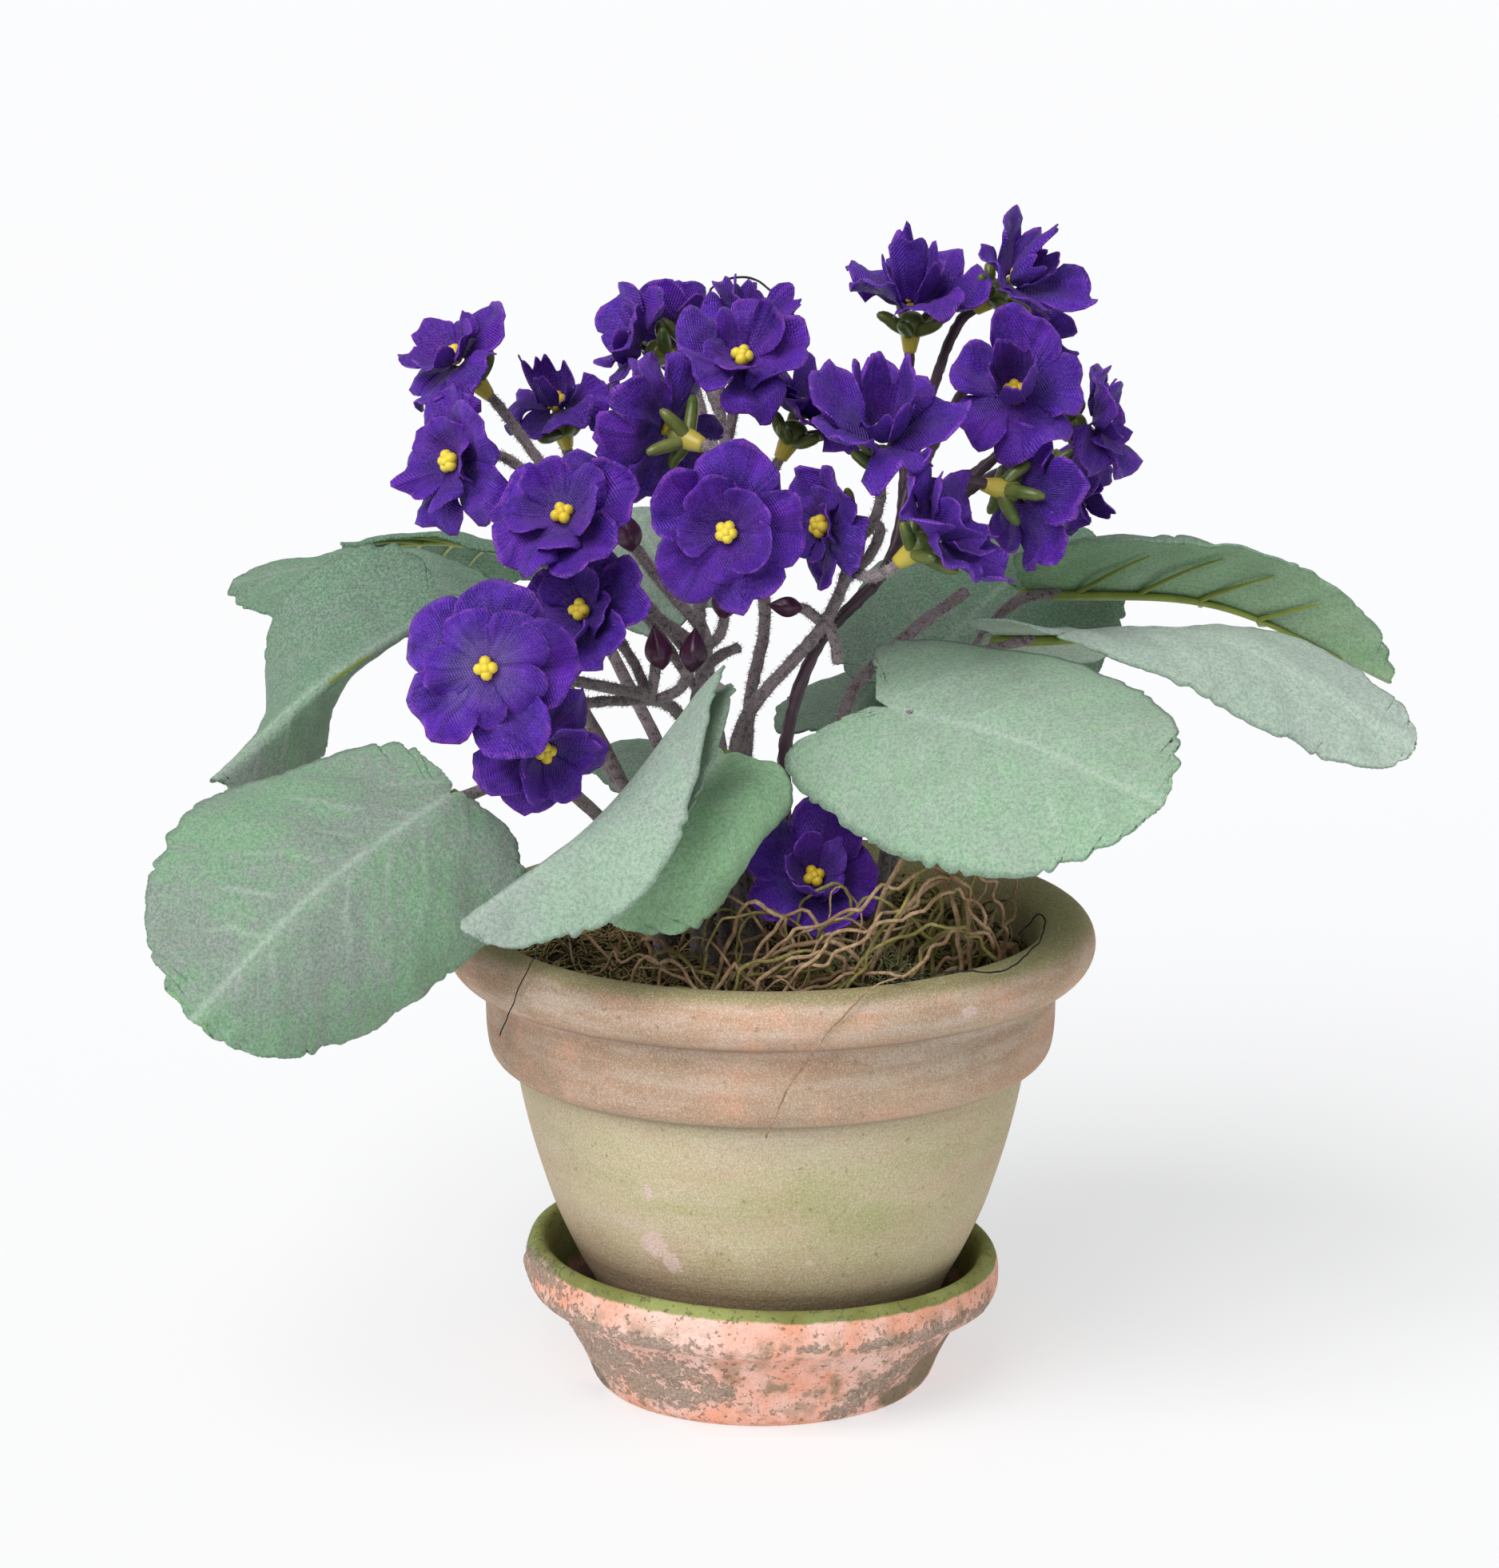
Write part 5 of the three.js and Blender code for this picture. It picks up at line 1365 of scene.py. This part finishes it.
PETAL_COLUMNS = 14  # across one lobe
PETAL_OUT = np.linspace(0, 1, 14) ** 0.9  # how far out each row of points lies, from the pin to the margin
PETAL_WALL = 0.28
PIN_HOLE = 0.12  # radius of the punched hole, where a bloom's is 1
SLIT = 0.42  # the share of the way out where neighbouring lobes come apart
# each layer of cloth: size, cup, how much more it cups as a bloom closes, height on the pin, turn
LAYERS = [(1.0, 0.28, 0.25, 0.0, 0), (0.76, 0.7, 1, 0.8, math.pi / PETALS)]
# by the number of the bloom: how grey its middle is, and how far it has closed
PALE_HEARTS = {1: 0.9, 2: 0.4, 4: 0.3, 19: 0.4, 23: 0.3}
CLOSING = {1: -0.4, 4: -0.1, 7: 0.4, 13: -0.1, 15: 0.4, 18: 0.3, 19: 0.5, 20: 0.5, 25: 0.3}


def look_of(turn, rise):
    turn, rise = math.radians(turn), math.radians(rise)
    return Vector((math.sin(turn) * math.cos(rise), -math.cos(turn) * math.cos(rise), math.sin(rise)))


def seated(points, at, look):
    """Points of a shape that looks up, turned to look another way and moved to its place."""
    seat = np.array(Vector((0, 0, 1)).rotation_difference(Vector(look).normalized()).to_matrix())
    return np.asarray(points, float) @ seat.T + at


def draws_from(seed):
    """The same chain of draws as the solid's, so that each lobe leans as its solid does."""
    state = seed
    while True:
        state = state * 16807 % 2147483647
        yield state / 2147483647


# %% One lobe
def make_lobe(cup, lift, middle, draw):
    """One lobe of a disc of radius 1: points, flat positions and how near the margin each point is."""
    across = np.linspace(-1, 1, PETAL_COLUMNS + 1)[None]
    out = PETAL_OUT[:, None]
    long, broad, roll, bowl, tilt, ruffle, phase, nick = draw.random(8)
    apart = np.clip((out - SLIT) / (1 - SLIT), 0, 1)
    free = 1 - (1 - apart) * across**4
    turn = math.pi / PETALS * across
    # the outline is round, longer or shorter, a little wavy, sometimes nicked, and cut in at the slits
    reach = 0.58 * np.cos(turn) + np.sqrt(0.2 - (0.58 * np.sin(turn)) ** 2)
    reach = reach + ((0.18 * long - 0.1) + 0.018 * np.sin(across * 8 + phase * 17)) * (1 - across**2)
    reach = reach - 0.09 * (nick > 0.55) * np.exp(-((across / 0.15) ** 2)) - 0.12 * across**8
    far = PIN_HOLE + (reach - PIN_HOLE) * out
    angle = middle + turn * (1 + (0.28 * broad + 0.06) * apart)
    # the height: cupped and lifted, hollow, tilted, ruffled twice, rolled at the margin, with two grooves
    rise = cup * np.maximum(0, far - PIN_HOLE) ** 1.15 + free * (lift + 0.3 * (long - 0.5)) * far
    rise = rise + free * out**1.5 * ((0.2 * bowl - 0.06) * across**2 + (0.03 + 0.13 * tilt) * across)
    rise = rise + free * (0.05 + 0.10 * ruffle) * np.sin(across * (3.2 + 2 * phase) + phase * 9) * out**2
    rise = rise + free * 0.04 * np.sin(across * 8.5 + phase * 23) * out**3
    rise = rise + free * (1.4 * roll - 0.95) * np.maximum(0, out - 0.6) ** 1.5
    rise = rise - 0.045 * np.exp(-((across / 0.13) ** 2)) * np.minimum(1, 2 * out) * (1 - 0.4 * out)
    rise = rise - 0.03 * np.exp(-(((1 - np.abs(across)) / 0.14) ** 2)) * (1 - apart) * np.minimum(1, 3 * out)
    shrink = 1 + (math.cos(min(1.2, abs(cup))) - 1) * np.minimum(1, far)
    flat_at = np.stack([far * np.cos(angle), far * np.sin(angle)], -1)
    points = np.concatenate([flat_at * shrink[..., None], rise[..., None]], -1)
    return points, flat_at, np.broadcast_to(out, far.shape)


def disc_faces():
    """Faces of five lobes that share their edges up to the slit, and the points that they keep."""
    ids = np.arange(PETALS * len(PETAL_OUT) * (PETAL_COLUMNS + 1)).reshape(PETALS, len(PETAL_OUT), -1)
    joined = PETAL_OUT < SLIT
    for lobe in range(PETALS):
        ids[(lobe + 1) % PETALS][joined, 0] = ids[lobe][joined, -1]
    corners = [ids[:, :-1, :-1], ids[:, 1:, :-1], ids[:, 1:, 1:], ids[:, :-1, 1:]]
    kept, places = np.unique(np.stack(corners, -1).reshape(-1, 4), return_inverse=True)
    return places.reshape(-1, 4).tolist(), kept


DISC_FACES, DISC_POINTS = disc_faces()
print(len(DISC_FACES), "faces in a disc")


# %% Blooms in their places
def creased(points, seed):
    """The same cloth with slow creases all over, deeper away from the middle, in millimetres."""
    away = np.clip(np.linalg.norm(points[:, :2], axis=1) / 14, 0, 1) ** 1.3
    ripple = lumps(points, 0.42, (0, seed, 0))
    points = points + drift(points, 0.16, (seed, 0, 0)) * away[:, None] * (1.4, 1.4, 2.8)
    points[:, 2] += ripple * away * 1.3
    return points


def make_bloom(number, at, turn, rise, radius):
    draw = draws_from(101 + 37 * number)
    start = next(draw) * 2
    bends = np.random.default_rng(number + 300)
    stock = Stock("margin", "pale")
    closing = CLOSING.get(number + 1, 0.0)
    for share, cup, shut, up, offset in LAYERS:
        size = radius * share
        leans = [next(draw) - 0.5 for _ in range(PETALS)]
        lobes = []
        for petal, lean in enumerate(leans):
            middle = 2 * math.pi * petal / PETALS - offset + start
            lobes.append(make_lobe(cup + shut * closing, 0.5 * lean, middle, bends))
        points, flat_at, margin = (np.stack(part) for part in zip(*lobes))
        flat_at = flat_at.reshape(-1, 2)[DISC_POINTS]
        points = points.reshape(-1, 3)[DISC_POINTS]
        points = creased(points * size + (0, 0, up), number * 7.3)
        words = {"margin": margin.reshape(-1)[DISC_POINTS], "pale": PALE_HEARTS.get(number + 1, 0.0)}
        stock.add(seated(points, at, look_of(turn, rise)), DISC_FACES, flat=flat_at * size / 10, **words)
    label = f"{number + 1:02d}"
    stock.piece("petals_" + label, [PETAL], "bloom_" + label, "petal_fabric", wall=PETAL_WALL)


for number, (at, turn, rise, radius, _, _) in enumerate(BLOOMS):
    make_bloom(number, at, turn, rise, radius)
print(len(BLOOMS), "blooms made")

# %% [markdown]
# Sprays of stems carry the blooms. Each has a trunk that forks into side stems, and every flower stem
# leaves the trunk and runs up behind its bloom into a calyx: a soft tube of plastic with five blunt
# fingers that hold the cloth. Above the cloth sits the yellow eye, a knot of little beads. The flock is
# real fuzz, grown on the finished stems.

# %% Spray shapes
SPRAYS = {
    "left": {
        "foot": (-14, -6),
        "trunk": [(-14, -7, 108), (-16.2, -10.3, 133.2), (-25, -22, 142)],
        "branches": [
            [(-23, -19, 139), (-22, -20, 143), (-21.5, -20.5, 147)],
            [(-22, -18, 139), (-17, -20, 142), (-15, -22, 147)],
        ],
        "buds": [((-21, -20.5, 149.5), (-0.2, 0, 1), 2.6), ((-14.5, -22.5, 149.5), (0.1, 0, 1), 2.6)],
    },
    "centre": {
        "foot": (-8, -12),
        "trunk": [(-10, -11, 108), (-12, -8, 129), (-13.5, -9, 150), (-12, -11, 172)],
        "branches": [
            [(-13, -9, 143), (-9, -13, 147), (-6, -14, 148.5)],
            [(-13.5, -9, 147), (-9.5, -18, 152), (-8.5, -20, 157)],
            [(-13.5, -9, 152), (-20, -4, 158), (-26, -2, 166)],
        ],
        "buds": [((-8.5, -20.5, 159), (0.1, -0.2, 1), 2.6), ((-27, -2, 168), (-0.3, 0, 1), 2.6)],
    },
    "flocked": {
        "foot": (-2, -14),
        "trunk": [(-5, -13, 108), (-6, -11, 131), (11, -15, 155), (17, -16, 172)],
        "branches": [
            [(9, -15, 154), (6, -16, 156.5), (3, -17, 157)],
            [(10, -15, 155), (12, -16, 150), (12.5, -16, 146)],
        ],
        "buds": [((3, -17, 157), (-1, 0, 0.1), 1.9)],
    },
    "right": {
        "foot": (4, -8),
        "trunk": [(3, -10, 108), (3, -11, 130), (9, -9, 148), (22, -4, 162), (26, 2, 176)],
        "branches": [],
        "buds": [],
    },
    "back": {
        "foot": (-4, 4),
        "trunk": [(-5, 10, 108), (-4, 18, 130), (-1, 22, 148), (-5, 22, 165)],
        "branches": [],
        "buds": [],
    },
    "bare": {
        "foot": (11, -2),
        "trunk": [(12, -1, 108), (15, -2, 136), (24, 0, 146), (37, -3, 157)],
        "branches": [[(17, -2, 139), (22, 0, 143), (28, -1, 143)]],
        "buds": [],
    },
}
SMOOTH_SPRAYS = {"right"}
TRUNK_RADIUS = 1.4
STEM_RADIUS = 1.0
FLOCK_FIBRES = {
    "Density": 2.6e6, "Steps": 2, "Start": (0, 0, -0.0001), "Middle": (0.0001, 0, 0.0003),
    "End": (0.00035, 0, 0.0007), "Tilt": 0.8, "Smallest": 0.4, "Wobble": 0.0, "Waves": 1.0,
    "Thickness": 0.00007, "Seed": 5,
}  # fmt: skip
CALYX_TUBE = [
    (1.35, -9.2), (1.55, -8.2), (1.9, -6.6), (2.1, -5.2), (2.45, -4.0), (2.7, -3.0), (2.2, -1.9),
    (1.2, -1.3),
]  # fmt: skip


def stem_line(trunk, look, at, share):
    """A flower stem: from the trunk's side, curving in behind its bloom."""
    steps = np.linspace(0, 1, len(trunk))
    start = np.array([np.interp(share, steps, trunk[:, axis]) for axis in range(3)])
    behind = [np.array(at) - look * far for far in (17, 13, 7.5)]
    return smooth_line([start, start + (behind[0] - start) * 0.55, behind[1], behind[2]], 1.1)


# %% Calyx, eye and bud
def add_calyx(stock, at, look, seed):
    """The tube behind the cloth and its fingers. The mark green runs from the tube to the tips."""
    rings, _ = turn_profile(drawn(CALYX_TUBE, 0.6), 14, 0)
    points, faces = skin(rings, first=(0, 0, -9.3), last=(0, 0, -1.2))
    points = points * (1 + 0.05 * math.sin(seed * 3), 1, 1)
    green = np.interp(points[:, 2], [-9.3, -5.5, -3, -1], [0.0, 0.25, 0.6, 0.7])
    stock.add(seated(points, at, look), faces, green=green)
    for finger in range(5):
        angle = 2 * math.pi * finger / 5 + seed
        reach = 1 + 0.16 * math.sin(seed * 5 + finger * 2.3)
        tip = -1.5 - 0.7 * math.sin(seed + finger)
        run = [(1.0, -4.8), (2.9, -3.9), (5.0 * reach, -2.6), (6.9 * reach, tip)]
        line = smooth_line([(far * math.cos(angle), far * math.sin(angle), up) for far, up in run], 0.7)
        wide = np.interp(np.linspace(0, 1, len(line)), [0, 0.5, 0.85, 1], [1.35, 1.3, 1.1, 0.6])
        points, faces = tube(line, wide, 9)
        stock.add(seated(points, at, look), faces, green=np.linspace(0.6, 1, len(points)))


def add_eye(stock, at, look, seed):
    """A ring of four or five beads, one on top and a larger one below."""
    beads = 4 + int(seed * 7) % 2
    knot = []
    for bead in range(beads):
        angle = 2 * math.pi * bead / beads + seed
        far = 1.15 + 0.12 * math.sin(seed * 7 + bead)
        knot.append(((far * math.cos(angle), far * math.sin(angle), 2.3), 1.12, 1.1))
    for middle, radius, squash in (*knot, ((0, 0, 2.9), 0.95, 1.0), ((0, 0, 1.2), 1.5, 0.9)):
        points, faces = ball(radius, 6, 9, 0.35, squash)
        stock.add(seated(points + middle, at, look), faces)


def add_bud(stock, end, aim, size):
    """A drop with five soft ribs that turn a little on their way to the tip."""
    share = np.linspace(0, 1, 12)
    radius = 0.5 + (size - 0.5) * np.sin(math.pi * share**0.85)
    rings, angle = turn_profile(np.stack([radius, -1.4 * size + share * 3.0 * size], 1), 20, 0)
    rings[..., :2] *= (1 + 0.07 * np.cos(5 * angle + 2 * share[:, None]))[..., None]
    points, faces = skin(rings, first=(0, 0, -1.4 * size - 0.3), last=(0, 0, 1.6 * size + 0.7))
    stock.add(seated(points, end, Vector(aim).normalized()), faces)


# %% Sprays
def make_spray(name, spray, seed):
    stems, calyxes, eyes, buds = Stock(), Stock("green"), Stock(), Stock()
    trunk = smooth_line([(*spray["foot"], STEM_FOOT), (*spray["foot"], 83), *spray["trunk"]], 1.3)
    way = np.linspace(0, 1, len(trunk))
    stems.add(*tube(trunk, TRUNK_RADIUS * (1 - 0.2 * way), 12, 0.3, seed))
    for branch in spray["branches"]:
        stems.add(*tube(smooth_line(branch, 1.0), STEM_RADIUS, 10, 0.3, seed))
    for end, aim, size in spray["buds"]:
        add_bud(buds, end, aim, size)
    for number, (at, turn, rise, _, holder, share) in enumerate(BLOOMS):
        if holder != name:
            continue
        look = look_of(turn, rise)
        line = stem_line(trunk, np.array(look), at, share)
        stems.add(*tube(line, STEM_RADIUS, 10, 0.3, number))
        add_calyx(calyxes, at, look, number * 0.7)
        add_eye(eyes, at, look, number * 0.61)
    smooth = name in SMOOTH_SPRAYS
    made = []
    coat = PLUM_STEM if smooth else FLOCK
    kinds = [("stems_", stems, coat), ("calyxes_", calyxes, CALYX), ("eyes_", eyes, EYE)]
    for kind, stock, material in (*kinds, ("buds_", buds, PLUM_BUD)):
        if stock.count:
            made.append(stock.piece(kind + name, [material], "spray_" + name, "stem_plastic"))
    if not smooth:
        grow("flock_" + name, made[0].data, FIBRE, "spray_" + name, "stem_plastic", **FLOCK_FIBRES)


for number, (name, spray) in enumerate(SPRAYS.items()):
    make_spray(name, spray, number)
print(len(SPRAYS), "sprays made")

# %% [markdown]
# Loose threads cling to the plant: a dark hair over the right of the rim, a root fibre down the front of
# the pot, a hair at the left, and a thin dark twist of wire on top of the blooms. They are thin tubes
# that touch what they lie on. They belong to the moss, whose strands they are.

# %% Loose threads
THREADS = [
    ("rim_hair", THREAD, 0.17, [
        (22, -50, 93), (25.6, -54, 95.3), (35.1, -49, 95.3), (43.2, -43, 93.8), (48.7, -36, 95.8),
        (51.6, -24, 98), (50.5, -20, 98.2), (47, -20, 94),
    ]),
    ("front_fibre", ROOT, 0.2, [
        (25, -48, 93), (22.7, -54, 95.5), (16.7, -59.5, 93.8), (9.4, -62.5, 86.2), (3, -60, 76),
        (-0.8, -54.5, 64.9),
    ]),
    ("left_hair", THREAD, 0.12, [(-36, -36, 90), (-40, -40, 101.2), (-46, -44, 92), (-50.4, -42, 81.1)]),
    ("top_wire", THREAD, 0.24, [(-14, 36, 201), (-11, 34, 209), (-5, 34, 211), (1, 32, 208), (6, 30, 202)]),
]  # fmt: skip
for name, material, radius, line in THREADS:
    way = smooth_line(line, 0.9)
    single(name, tube(way + drift(way, 0.35) * 0.45, radius, 5, 0.3), material, "moss", "moss")
print(len(THREADS), "threads laid")
